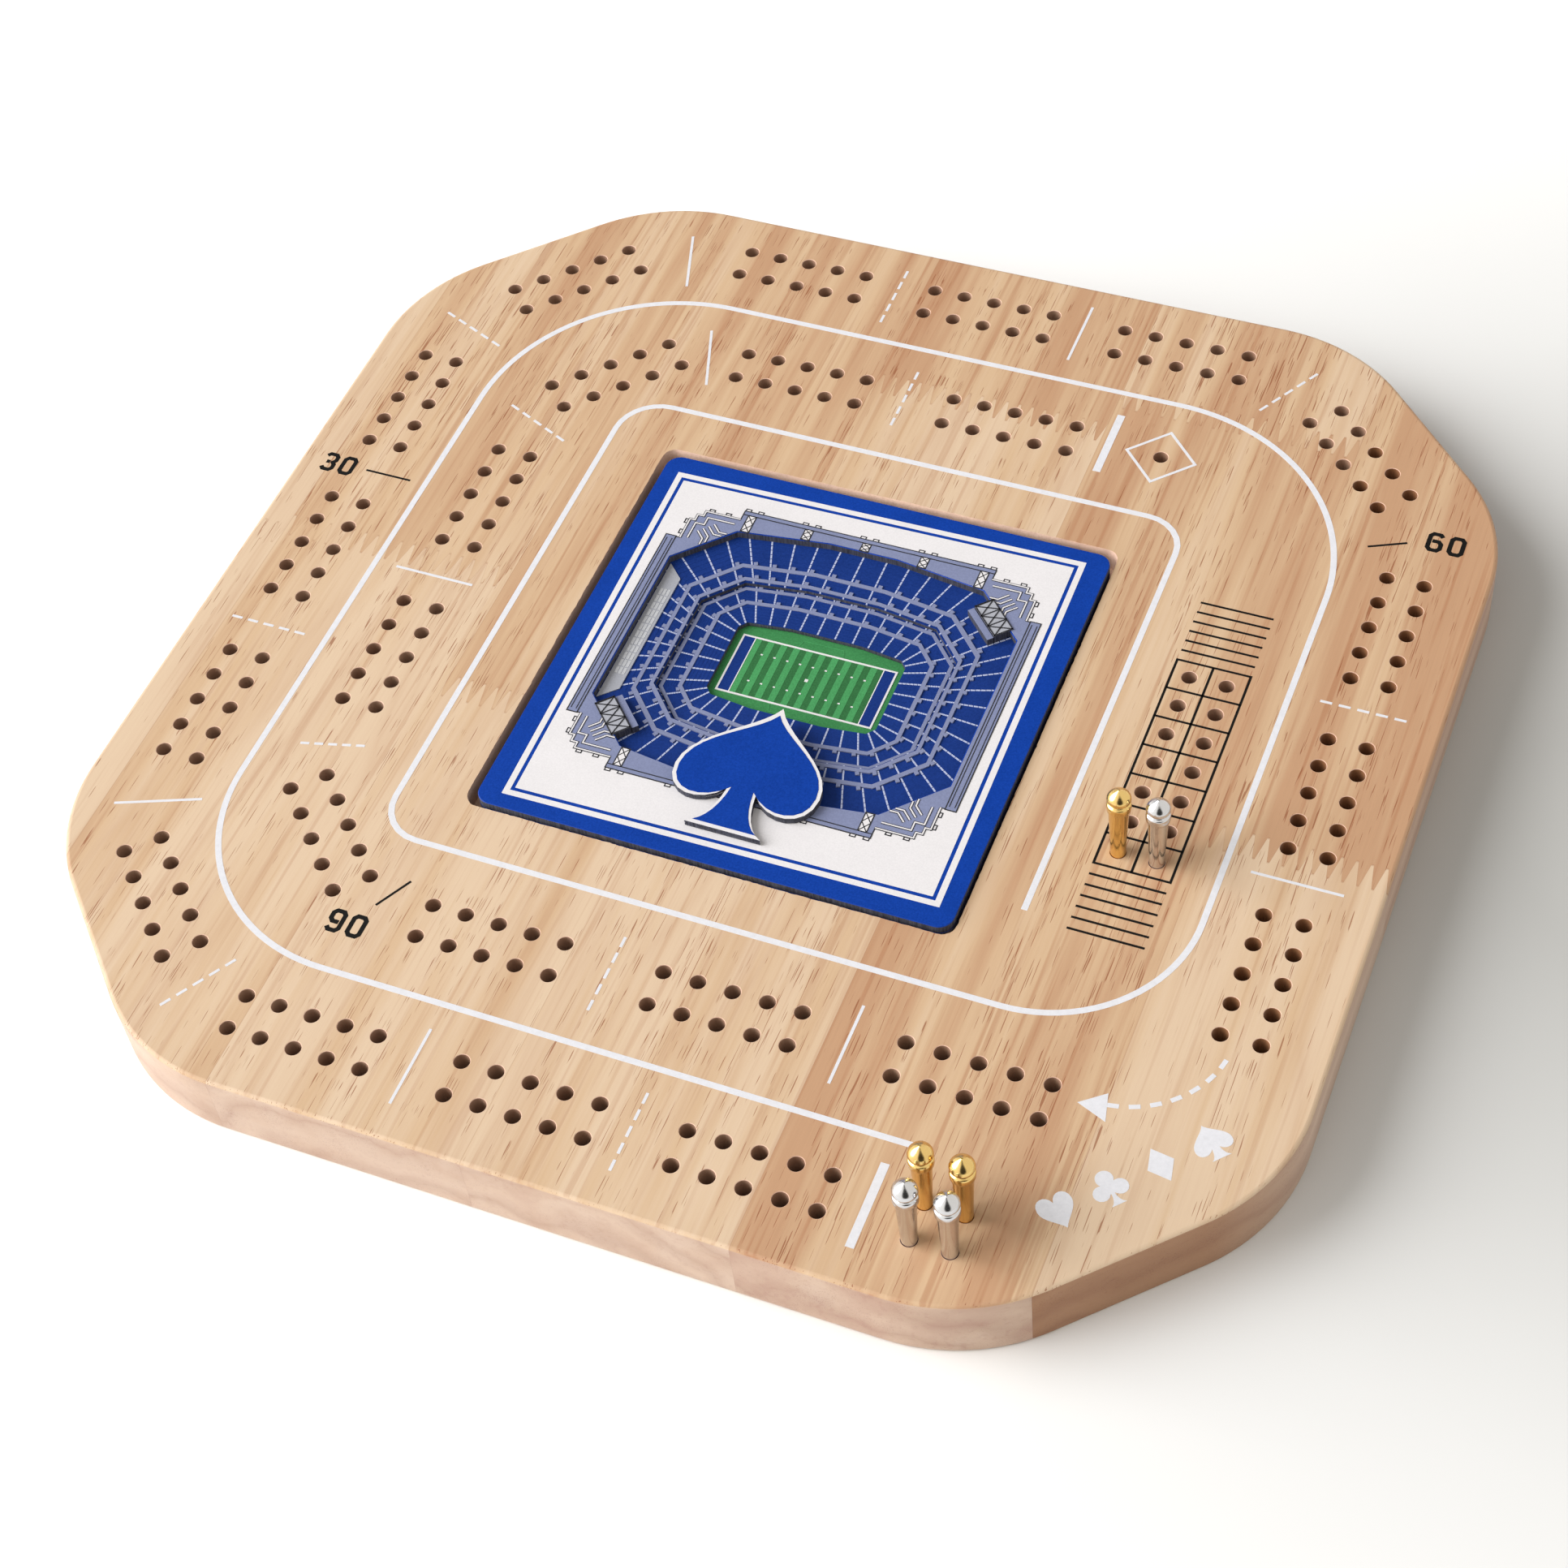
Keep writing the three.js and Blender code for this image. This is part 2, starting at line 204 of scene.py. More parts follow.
# ------------------------------------------------------------------ mesh building
class Builder:
    """Collects the vertices and faces of one piece. A slot is a place in its list of materials."""

    def __init__(self):
        self.verts = []
        self.faces = []
        self.slots = []
        self.flat = []

    def ring(self, points, z):
        first = len(self.verts)
        self.verts += [(point[0], point[1], z) for point in points]
        return list(range(first, len(self.verts)))

    def round_rings(self, levels, steps, centre=(0, 0)):
        """One ring for each (radius, height)."""
        return [self.ring(circle(centre, radius, steps), height) for radius, height in levels]

    def face(self, indices, slot, flat=False):
        self.faces.append(indices)
        self.slots.append(slot)
        self.flat.append(flat)

    def loft(self, rings, slot=0):
        """Walls from each ring to the next."""
        for low, high in zip(rings, rings[1:]):
            for index in range(len(low)):
                after = (index + 1) % len(low)
                self.face([low[index], low[after], high[after], high[index]], slot)

    def fill(self, loops, slot=0):
        """A flat face inside the first loop and outside the others."""
        index = [vertex for loop in loops for vertex in loop]
        coords = [Vector(self.verts[vertex][:2]) / MM for vertex in index]
        outlines = []
        for loop in loops:
            start = sum(len(outline) for outline in outlines)
            outlines.append(list(range(start, start + len(loop))))
        result = geometry.delaunay_2d_cdt(coords, [], outlines, 1, 1e-6)
        found, triangles, origins, containing = result[0], result[2], result[3], result[5]
        for place, origin in zip(found, origins):
            if not origin:
                raise ValueError(f"an outline crosses itself near {place}")
        for triangle, outline in zip(triangles, containing):
            if outline == [0]:
                self.face([index[origins[vertex][0]] for vertex in triangle], slot, flat=True)

    def prism(self, outline, bottom, top, slot=0, side_slot=None, bevel=0.0, holes=()):
        """A plate with straight sides; bevel rounds its upper edges when the outline is convex."""
        side_slot = slot if side_slot is None else side_slot
        lows, highs = [], []
        for number, loop in enumerate([outline, *holes]):
            rings = [self.ring(loop, bottom), self.ring(loop, top - bevel)]
            if bevel:
                centre = sum((Vector(point) for point in loop), Vector((0, 0))) / len(loop)
                reach = max((Vector(point) - centre).length for point in loop)
                factor = 1 + (bevel if number else -bevel) / reach
                inner = [centre + (Vector(point) - centre) * factor for point in loop]
                rings.append(self.ring(inner, top))
            self.loft(rings[:2], side_slot)
            self.loft(rings[1:], slot)
            lows.append(rings[0])
            highs.append(rings[-1])
        self.fill(highs, slot)
        self.fill(lows, side_slot)

    def revolve(self, profile, steps, centre):
        """A solid turned about a vertical line, from (radius, height) pairs that end on the axis."""
        rings = self.round_rings(profile[1:-1], steps, centre)
        self.loft(rings)
        for (_, height), ring in ((profile[0], rings[0]), (profile[-1], rings[-1])):
            tip = self.ring([centre], height)
            for index in range(steps):
                self.face([ring[index], ring[(index + 1) % steps], *tip], 0)

    def ribbon(self, points, width, bottom, top, slot=0, closed=False):
        """A flat stripe of even width along a line, with mitred corners."""
        line = [Vector(point) for point in points]
        left, right = [], []
        last = len(line) - 1
        for index, point in enumerate(line):
            arriving = (point - line[index - 1]).normalized()
            leaving = (line[(index + 1) % len(line)] - point).normalized()
            if not closed and index == 0:
                arriving = leaving
            if not closed and index == last:
                leaving = arriving
            direction = (arriving + leaving).normalized()
            side = Vector((-direction.y, direction.x))
            reach = width / 2 / max(0.3, abs(direction.dot(leaving)))
            left.append(point + side * reach)
            right.append(point - side * reach)
        if closed:
            self.prism(right, bottom, top, slot, holes=[left])
        else:
            self.prism(right + left[::-1], bottom, top, slot)


def make_piece(name, builder, materials, replaces=(), body="board_body", sharp_degrees=35):
    """Turns a builder into an object that rides on a CAD body."""
    mesh = bpy.data.meshes.new(name)
    mesh.from_pydata(builder.verts, [], builder.faces)
    for material in materials:
        mesh.materials.append(material)
    mesh.polygons.foreach_set("material_index", builder.slots)
    work = bmesh.new()
    work.from_mesh(mesh)
    bmesh.ops.recalc_face_normals(work, faces=work.faces)
    work.to_mesh(mesh)
    work.free()
    mesh.set_sharp_from_angle(angle=math.radians(sharp_degrees))
    mesh.polygons.foreach_set("use_smooth", [not flat for flat in builder.flat])
    piece = bpy.data.objects.new(name, mesh)
    bpy.context.scene.collection.objects.link(piece)
    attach(piece, body)
    if replaces:
        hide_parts(*replaces)


# ------------------------------------------------------------------ shading helpers
class NodeTree:
    """Adds nodes to a material or a world."""

    def __init__(self, tree):
        self.nodes = tree.nodes
        self.links = tree.links

    def put(self, target, value):
        """Sets a socket to a number or colour, or links it to another socket."""
        if isinstance(value, bpy.types.NodeSocket):
            self.links.new(value, target)
        elif isinstance(value, tuple) and target.type == "RGBA":
            target.default_value = (*value, 1)
        else:
            target.default_value = value

    def outputs(self, kind, inputs, **settings):
        """The outputs of a new node, once its settings are made and its inputs are put in."""
        node = self.nodes.new(kind)
        for name, value in settings.items():
            setattr(node, name, value)
        for socket, value in inputs.items():
            self.put(node.inputs[socket], value)
        return node.outputs

    def math(self, operation, *values):
        return self.outputs("ShaderNodeMath", dict(enumerate(values)), operation=operation)[0]

    def vectors(self, operation, *values):
        return self.outputs("ShaderNodeVectorMath", dict(enumerate(values)), operation=operation)

    def split(self, vector):
        return self.outputs("ShaderNodeSeparateXYZ", {0: vector})

    def ramp(self, factor, *stops):
        """A smooth map from a factor to colours or greys, from (position, value) pairs."""
        node = self.nodes.new("ShaderNodeValToRGB")
        self.put(node.inputs["Fac"], factor)
        elements = node.color_ramp.elements
        while len(elements) < len(stops):
            elements.new(0.5)
        for element, (position, value) in zip(elements, stops):
            element.position = position
            element.color = (*value, 1) if isinstance(value, tuple) else (value, value, value, 1)
        return node.outputs["Color"]

    def mix(self, factor, first, second, blend="MIX"):
        inputs = {"Factor": factor, 6: first, 7: second}
        return self.outputs("ShaderNodeMix", inputs, data_type="RGBA", blend_type=blend)[2]


class Shader(NodeTree):
    """A node material under construction, with a Principled surface."""

    def __init__(self, name, color, roughness, **sockets):
        self.material = bpy.data.materials.new(name)
        self.material.use_nodes = True
        self.material.diffuse_color = (*color, 1)
        super().__init__(self.material.node_tree)
        self.surface = self.nodes["Principled BSDF"].inputs
        self.color(color)
        self.roughness(roughness)
        for socket, value in sockets.items():
            self.surface[socket.replace("_", " ")].default_value = value

    def millimetres(self, stretch=(1, 1, 1), offset=None):
        """The object's own coordinates in millimetres, scaled along each axis."""
        place = self.nodes.new("ShaderNodeTexCoord").outputs["Object"]
        place = self.vectors("MULTIPLY", place, tuple(1000 * factor for factor in stretch))[0]
        return place if offset is None else self.vectors("ADD", place, offset)[0]

    def noise(self, vector, scale=1.0, detail=2.0, roughness=0.5):
        inputs = {"Vector": vector, "Scale": scale, "Detail": detail, "Roughness": roughness}
        return self.outputs("ShaderNodeTexNoise", inputs)["Fac"]

    def color(self, value):
        self.put(self.surface["Base Color"], value)

    def roughness(self, value):
        self.put(self.surface["Roughness"], value)

    def bump(self, height, distance, strength=1.0):
        inputs = {"Height": height, "Distance": distance, "Strength": strength}
        self.put(self.surface["Normal"], self.outputs("ShaderNodeBump", inputs)["Normal"])


# ------------------------------------------------------------------ materials
STAVE_WIDTH = 53.2  # millimetres
STAVE_EDGE = 38.9
FINGER_PITCH = 2.9
FINGER_LENGTH = 5.6
# Each stave's finger joint along Y, and how red the wood is before and beyond it.
STAVES = {
    -3: (3, 0.2, 0.5),
    -2: (-28, 0.08, 0.8),
    -1: (82, 0.2, 0.8),
    0: (93, 0.68, 0.45),
    1: (-16, 0.0, 0.88),
}
PALE_WOOD = (0.66, 0.495, 0.34)
HONEY_WOOD = (0.6, 0.415, 0.255)
RED_WOOD = (0.5, 0.295, 0.17)
PORE_BROWN = (0.25, 0.07, 0.022)
SIDE_PALE = (0.58, 0.435, 0.36)
SIDE_PINK = (0.43, 0.285, 0.24)
SHADED_END_STAVE = 1.0  # the number of the stave whose upright faces are darkened: darker end grain, partly painted shade
END_GRAIN_AND_SHADE = (0.6, 0.42, 0.28)  # what is left of its colour there: darker end grain with painted shade


def stave_places(shader, x, y):
    """Which stave a point lies on, how far across it, and how far past its finger joint."""
    across = shader.math("DIVIDE", shader.math("SUBTRACT", x, STAVE_EDGE), STAVE_WIDTH)
    stave = shader.math("FLOOR", across)
    zigzag = shader.math("PINGPONG", x, FINGER_PITCH / 2)
    slope = 3 * FINGER_LENGTH / FINGER_PITCH
    tooth = shader.math("MULTIPLY_ADD", zigzag, slope, -FINGER_LENGTH / 4)
    joint = shader.math("MINIMUM", shader.math("MAXIMUM", tooth, 0.0), FINGER_LENGTH)
    here = {number: shader.math("COMPARE", stave, float(number), 0.1) for number in STAVES}
    for number, (place, _, _) in STAVES.items():
        joint = shader.math("MULTIPLY_ADD", here[number], float(place), joint)
    past_joint = shader.math("SUBTRACT", y, joint)
    beyond = shader.math("GREATER_THAN", past_joint, 0.0)
    redness = 0.0
    for number, (_, before, after) in STAVES.items():
        tone = shader.math("MULTIPLY_ADD", beyond, after - before, before)
        redness = shader.math("MULTIPLY_ADD", here[number], tone, redness)
    return across, stave, past_joint, beyond, redness


def growth_rings(shader, x, z, stave, lottery, wander):
    """How far along its growth rings a point lies; the pith runs along Y above the stave."""
    draw = shader.outputs("ShaderNodeSeparateColor", {0: lottery})
    pith_x = shader.math("MULTIPLY_ADD", draw[0], 60.0, STAVE_EDGE + STAVE_WIDTH / 2 - 30)
    pith_x = shader.math("MULTIPLY_ADD", stave, STAVE_WIDTH, pith_x)
    from_pith_x = shader.math("SUBTRACT", x, pith_x)
    from_pith_z = shader.math("ADD", z, shader.math("MULTIPLY_ADD", draw[1], 40.0, 22.0))
    squares = shader.math("MULTIPLY", from_pith_x, from_pith_x)
    squares = shader.math("MULTIPLY_ADD", from_pith_z, from_pith_z, squares)
    return shader.math("MULTIPLY_ADD", wander, 24.0, shader.math("SQRT", squares))


def rings_at(shader, radius, spacing, sharpness):
    """A value that peaks once in every ring."""
    ring = shader.math("PINGPONG", shader.math("DIVIDE", radius, spacing), 0.5)
    return shader.math("POWER", shader.math("MULTIPLY", ring, 2.0), sharpness)


def wood_material(name, gloss, tint=None, tinting=0.0, torn=0.0):
    """Edge-glued hardwood staves along Y, each with its own tone, rings, fibres and pores."""
    shader = Shader(name, HONEY_WOOD, gloss, Specular_IOR_Level=0.3)
    x, y, z = shader.split(shader.millimetres())
    across, stave, past_joint, beyond, redness = stave_places(shader, x, y)
    ticket = shader.math("ADD", shader.math("MULTIPLY_ADD", stave, 2.0, beyond), 23.4)
    draw = shader.outputs("ShaderNodeTexWhiteNoise", {"W": ticket}, noise_dimensions="1D")
    lottery = draw["Color"]
    offset = shader.vectors("MULTIPLY", lottery, (900, 900, 900))[0]

    def fibrous(across_grain, along_grain, detail=2, roughness=0.5):
        """Noise drawn out along the stave, from how many waves there are in a millimetre."""
        stretch = (across_grain, along_grain, across_grain)
        return shader.noise(shader.millimetres(stretch, offset), 1.0, detail, roughness)

    def stain(strength, amount, stain_color):
        return shader.mix(shader.math("MULTIPLY", strength, amount), color, stain_color)

    band = shader.math("MULTIPLY_ADD", fibrous(0.1, 0.004), 2.8, -1.4)
    figure = shader.math("SUBTRACT", fibrous(0.6, 0.02), 0.5)
    tone = shader.math("ADD", redness, shader.math("MULTIPLY_ADD", figure, 0.75, band))
    color = shader.ramp(tone, (0.0, PALE_WOOD), (0.5, HONEY_WOOD), (1.0, RED_WOOD))
    wander = fibrous(0.05, 0.005, 3)
    radius = growth_rings(shader, x, z, stave, lottery, wander)
    color = stain(rings_at(shader, radius, 4.6, 3.0), 0.22, (0.45, 0.25, 0.14))

    fibre = fibrous(2.4, 0.07, 4, 0.7)
    color = shader.mix(0.3, color, shader.ramp(fibre, (0.3, 0.45), (0.7, 0.55)), blend="OVERLAY")
    streak = shader.ramp(fibrous(0.8, 0.014), (0.55, 0.0), (0.68, 1.0))
    color = stain(streak, shader.math("MULTIPLY_ADD", redness, 0.34, 0.2), (0.37, 0.155, 0.07))
    crowding = fibrous(0.16, 0.012)
    pore_field = shader.math("MULTIPLY_ADD", crowding, 0.45, fibrous(4.8, 0.13, 0))
    pore = shader.ramp(pore_field, (0.972, 0.0), (1.0, 1.0))
    color = stain(pore, 0.68, PORE_BROWN)

    from_seam = shader.math("SUBTRACT", across, shader.math("ROUND", across))
    seam = shader.math("LESS_THAN", shader.math("ABSOLUTE", from_seam), 0.1 / STAVE_WIDTH)
    finger_line = shader.math("LESS_THAN", shader.math("ABSOLUTE", past_joint), 0.25)
    color = stain(shader.math("MAXIMUM", seam, finger_line), 0.22, PORE_BROWN)

    facing = shader.split(shader.nodes.new("ShaderNodeTexCoord").outputs["Normal"])
    upright = shader.math("LESS_THAN", shader.math("ABSOLUTE", facing[2]), 0.5)
    side_color = shader.mix(rings_at(shader, radius, 11.0, 1.5), SIDE_PALE, SIDE_PINK)
    color = stain(upright, 0.62, side_color)
    # Darker end grain on one stave, partly painted shade on its upright faces that turn away from the
    # light.
    end_grain = shader.math("MULTIPLY", shader.math("ABSOLUTE", facing[1]), 1.33)
    end_grain = shader.math("MULTIPLY", upright, shader.math("MINIMUM", end_grain, 1.0))
    end_grain_and_shade = shader.math("MULTIPLY", end_grain, shader.math("COMPARE", stave, SHADED_END_STAVE, 0.1))
    color = shader.mix(end_grain_and_shade, color, END_GRAIN_AND_SHADE, blend="MULTIPLY")
    if torn:
        crumbs = shader.noise(shader.millimetres(), scale=2.2, detail=3, roughness=0.6)
        color = shader.mix(shader.ramp(crumbs, (0.46, 0.0), (0.62, torn)), color, PORE_BROWN)
    # a tint: the raw colour of cut wood, or painted shade down in the holes
    if tint:
        color = shader.mix(tinting, color, tint)
    shader.color(color)
    shader.roughness(shader.math("MULTIPLY_ADD", fibre, 0.2, gloss))
    relief = shader.math("SUBTRACT", shader.math("MULTIPLY", fibre, 0.35), pore)
    shader.bump(relief, 0.04 * MM, gloss)
    return shader.material


def ink_material(name, color, roughness):
    """Screen-printed ink with a slightly uneven film."""
    shader = Shader(name, color, roughness, Specular_IOR_Level=0.2)
    film = shader.noise(shader.millimetres(), scale=0.9, detail=4, roughness=0.7)
    darker = tuple(channel * 0.9 for channel in color)
    shader.color(shader.mix(shader.ramp(film, (0.35, 0.0), (0.75, 1.0)), color, darker))
    shader.roughness(shader.math("MULTIPLY_ADD", film, 0.2, roughness - 0.1))
    shader.bump(film, 0.02 * MM, 0.4)
    return shader.material


def print_material(name, color, roughness, grain=0.12):
    """A sprayed print on smooth fibreboard: the colour is mottled by its fine dots."""
    shader = Shader(name, color, roughness, Specular_IOR_Level=0.2)
    dots = shader.noise(shader.millimetres(), scale=2.6, detail=3, roughness=0.75)
    cloud = shader.noise(shader.millimetres(), scale=0.12, detail=2)
    lighter = tuple(min(1.0, channel * (1 + 2.2 * grain) + 0.02 * grain) for channel in color)
    darker = tuple(channel * (1 - grain) for channel in color)
    speck = shader.ramp(shader.math("MULTIPLY_ADD", cloud, 0.25, dots), (0.45, 0.0), (0.8, 1.0))
    shader.color(shader.mix(speck, darker, lighter))
    shader.roughness(shader.math("MULTIPLY_ADD", dots, 0.18, roughness - 0.08))
    shader.bump(dots, 0.03 * MM, 0.5)
    return shader.material


def sawn_edge_material():
    """The dark side of laser-cut fibreboard, with the fine upright lines of the cut."""
    shader = Shader("sawn_fibreboard", (0.035, 0.035, 0.05), 0.75)
    lines = shader.noise(shader.millimetres((3, 3, 0.3)), detail=3)
    shader.color(shader.ramp(lines, (0.3, (0.018, 0.019, 0.03)), (0.75, (0.085, 0.088, 0.12))))
    shader.bump(lines, 0.05 * MM, 0.6)
    return shader.material


def metal_material(name, color, roughness, turning):
    """Polished plated metal with faint marks left round it by turning or brushing."""
    shader = Shader(name, color, roughness, Metallic=1.0)
    marks = shader.noise(shader.millimetres(turning), detail=3, roughness=0.6)
    smear = shader.noise(shader.millimetres(), scale=0.35, detail=2)
    tint = tuple(channel * 0.86 for channel in color)
    shader.color(shader.mix(shader.math("MULTIPLY", smear, 0.7), color, tint))
    shader.roughness(shader.math("MULTIPLY_ADD", marks, 0.16, roughness - 0.05))
    shader.bump(marks, 0.01 * MM, 0.35)
    return shader.material


def foam_material():
    shader = Shader("foam_pad", (0.82, 0.81, 0.76), 0.9)
    cells = shader.noise(shader.millimetres(), scale=2.0, detail=3)
    shader.color(shader.ramp(cells, (0.3, (0.62, 0.61, 0.56)), (0.7, (0.86, 0.85, 0.8))))
    shader.bump(cells, 0.1 * MM)
    return shader.material


WOOD = wood_material("lacquered_wood", 0.4)
CUT_WOOD = wood_material("freshly_cut_wood", 0.65, (0.86, 0.58, 0.45), 0.6, torn=0.45)
# painted shade: the walls and bottoms of the holes are darkened to stand in for the shade down inside
# them
HOLE_WOOD_PAINTED_SHADE = wood_material("hole_wood_painted_shade", 0.65, (0.19, 0.075, 0.025), 0.6)
WHITE_INK = ink_material("white_ink", (0.72, 0.72, 0.75), 0.5)
BLACK_INK = ink_material("black_ink", (0.004, 0.0035, 0.003), 0.65)
BORDER_BLUE = print_material("border_blue", (0.001, 0.037, 0.28), 0.42)
BORDER_WHITE = print_material("border_white", (0.7, 0.68, 0.685), 0.45, grain=0.03)
SEAT_BLUE = print_material("seat_blue", (0.004, 0.027, 0.17), 0.5)
AISLE_GREY = print_material("aisle_grey", (0.42, 0.46, 0.62), 0.5, grain=0.04)
STONE_GREY = print_material("stone_grey", (0.195, 0.22, 0.35), 0.5, grain=0.06)
PALE_GREY = print_material("pale_grey", (0.36, 0.37, 0.41), 0.5, grain=0.05)
BENCH_GREY = print_material("bench_grey", (0.5, 0.51, 0.53), 0.5, grain=0.05)
LINE_BLACK = print_material("line_black", (0.03, 0.03, 0.035), 0.5, grain=0.05)
TURF_DARK = print_material("turf_dark", (0.026, 0.13, 0.04), 0.55)
TURF_LIGHT = print_material("turf_light", (0.055, 0.27, 0.09), 0.55)
TURF_DEEP = print_material("turf_deep", (0.038, 0.2, 0.063), 0.55)
SAWN_EDGE = sawn_edge_material()
GOLD = metal_material("gold_plating", (0.86, 0.6, 0.22), 0.15, (0.4, 0.4, 9))
NICKEL = metal_material("nickel_plating", (0.7, 0.7, 0.71), 0.13, (0.4, 0.4, 9))
BRUSHED_STEEL = metal_material("brushed_steel", (0.6, 0.61, 0.62), 0.32, (0.25, 7, 1))
SCREW_STEEL = metal_material("zinc_plating", (0.56, 0.56, 0.54), 0.3, (3, 3, 3))


# ------------------------------------------------------------------ wooden board
def on_board(points):
    """Places on the board, from places in pitches from its middle."""
    return [Vector(point) * PITCH for point in points]


def hole_places():
    """The middle of every peg hole: the track, the finish, the start and the games won."""
    places = []
    for first, heading, groups, spacing in TRACK_RUNS:
        turn = Matrix.Rotation(math.radians(heading), 2)
        for group in range(groups):
            for hole in range(HOLES_PER_GROUP):
                along = group * spacing + hole - (HOLES_PER_GROUP - 1) / 2
                for side in (-0.5, 0.5):
                    step = turn @ Vector((along, side * LANE_SPACING))
                    places.append(Vector(first) + step)
    places.append(FINISH_HOLE)
    places += [(x, y) for y in START_ROWS for x in START_COLUMNS]
    tally_levels = [TALLY_TOP - row * TALLY_STEP for row in range(TALLY_ROWS)]
    places += [(x, y) for y in tally_levels for x in TALLY_COLUMNS]
    return on_board(places)


def board_outline(inset):
    """The board's outline, drawn in by inset all round."""
    half = HALF - inset
    cut = 2 * HALF - CORNER_LEG - inset * math.sqrt(2) - half
    return rounded_outline(fourfold([(half, cut), (cut, half)]), OUTLINE_RADIUS - inset, 16)


def roughened(points, amount, seed):
    """An outline with each point moved a little in or out, as a router leaves in end grain."""
    rough = []
    for point in points:
        fine = noise.noise(Vector((point.x * 900, point.y * 900, seed)))
        coarse = noise.noise(Vector((point.x * 160, point.y * 160, seed + 5)))
        outward = (point - POCKET_CENTRE).normalized()
        rough.append(point + outward * amount * (0.65 * fine + 0.35 * coarse))
    return rough


def drill_holes(builder):
    """Every peg hole, with a small chamfer and walls darkened by painted shade; returns their rims.
    """
    rims = []
    for place in hole_places():
        levels = [
            (HOLE_RADIUS + HOLE_CHAMFER, TOP),
            (HOLE_RADIUS + HOLE_CHAMFER * 0.35, TOP - HOLE_CHAMFER * 0.45),
            (HOLE_RADIUS, TOP - HOLE_CHAMFER * 1.4),
            (HOLE_RADIUS, TOP - HOLE_DEPTH),
        ]
        rings = builder.round_rings(levels, HOLE_STEPS, place)
        builder.loft(rings[:3], 1)
        # walls and bottom in painted shade
        builder.loft(rings[2:], 2)
        builder.fill([rings[-1]], 2)
        rims.append(rings[0])
    return rims


def mill_pocket(builder):
    """The medallion's pocket, torn at its mouth and flared on the far side; returns its rim."""
    line = rounded_rectangle(POCKET_HALF, POCKET_HALF, POCKET_RADIUS, 6, POCKET_CENTRE)
    line = resampled(line, POCKET_STEP)
    rings = []
    for level, (flare, depth) in enumerate(POCKET_WALL):
        flared = []
        for point in line:
            far_share = (point.y - POCKET_CENTRE.y - POCKET_HALF) / POCKET_RADIUS + 1
            outward = (point - POCKET_CENTRE).normalized()
            flared.append(point + outward * flare * MM * max(0.2, far_share))
        tearing = (0.22 if level < 2 else 0.12) * MM
        rings.append(builder.ring(roughened(flared, tearing, level * 0.7), TOP - depth * MM))
    rings.append(builder.ring(line, POCKET_FLOOR))
    builder.loft(rings, 1)
    builder.fill([rings[-1]], 1)
    return rings[0]


def hollow_underside(builder):
    """The round recess with the peg store and the screw's pilot hole; returns the recess's rim."""
    recess = builder.round_rings(
        [(RECESS_RADIUS + RECESS_CHAMFER, 0), (RECESS_RADIUS, RECESS_CHAMFER),
         (RECESS_RADIUS, RECESS_ROOF)], 128
    )
    middle = (STORE_NEAR + STORE_LENGTH / 2, 0)
    outline = rounded_rectangle(STORE_LENGTH / 2, STORE_WIDTH / 2, STORE_RADIUS, 8, middle)
    store = [builder.ring(outline, z) for z in (RECESS_ROOF, RECESS_ROOF + STORE_DEPTH)]
    pilot = builder.round_rings([(PILOT_RADIUS, RECESS_ROOF), (PILOT_RADIUS, PILOT_TOP)], 24)
    for hollow in (recess, store, pilot):
        builder.loft(hollow, 1)
    for hollow in (store, pilot):
        builder.fill([hollow[1]], 1)
    builder.fill([recess[2], store[0], pilot[0]], 1)
    return recess[0]


def make_board():
    builder = Builder()
    upper, lower = [], []
    for step in range(5):
        angle = math.pi / 8 * step
        outline = board_outline(EDGE_ROUNDING * (1 - math.sin(angle)))
        drop = EDGE_ROUNDING * (1 - math.cos(angle))
        upper.append(builder.ring(outline, TOP - drop))
        lower.insert(0, builder.ring(outline, drop))
    builder.loft(upper + lower)
    rims = drill_holes(builder)
    builder.fill([upper[0], mill_pocket(builder), *rims])
    builder.fill([lower[-1], hollow_underside(builder)])
    make_piece("wooden_board", builder, [WOOD, CUT_WOOD, HOLE_WOOD_PAINTED_SHADE], ["board"])


make_board()


# ------------------------------------------------------------------ printed marks
# All in pitches from the middle of the board.
THIN = 0.085  # width of a white line
BLACK_LINE = 0.072
# The white line between the outer and the inner lanes, from the start to the last bend.
LANE_LINE = [
    (8.96, -13.68), (-13.69, -13.68), (-13.69, 13.75), (13.64, 13.75), (13.64, -8.95),
    (-9.01, -8.95), (-9.01, 9.0), (9.02, 9.0), (9.02, -5.83),
]
LANE_LINE_RADII = [5.4, 6.1, 6.35, 4.2, 1.25, 1.35, 1.2]
BROAD_LINES = [((8.29, -14.4), (8.29, -16.95)), ((5.76, 12.8), (5.76, 10.3))]
SOLID_LINES = [
    ((-4.54, -14.5), (-4.54, -16.95)), ((-16.64, -10.5), (-14.27, -9.57)),
    ((-10.19, 16.6), (-9.44, 14.3)), ((3.41, 17.15), (3.41, 14.65)),
    ((14.36, -2.7), (16.91, -2.7)), ((6.06, -10.1), (6.06, -12.65)),
    ((-12.99, 0.25), (-10.44, 0.25)), ((-7.84, 12.6), (-7.04, 10.25)),
]
DASHED_LINES = [
    ((1.74, -14.45), (1.74, -16.9)), ((-10.64, -14.2), (-11.89, -16.2)),
    ((-16.84, -3.07), (-14.39, -3.07)), ((-16.44, 10.88), (-14.14, 9.93)),
    ((-2.81, 17.05), (-2.81, 14.55)), ((10.93, 16.3), (9.69, 14.25)),
    ((14.51, 3.65), (16.96, 3.65)), ((-0.82, -10.1), (-0.82, -12.6)),
    ((-12.54, -6.83), (-10.69, -6.35)), ((-12.59, 7.6), (-10.34, 6.63)),
    ((-0.86, 12.75), (-0.86, 10.3)),
]
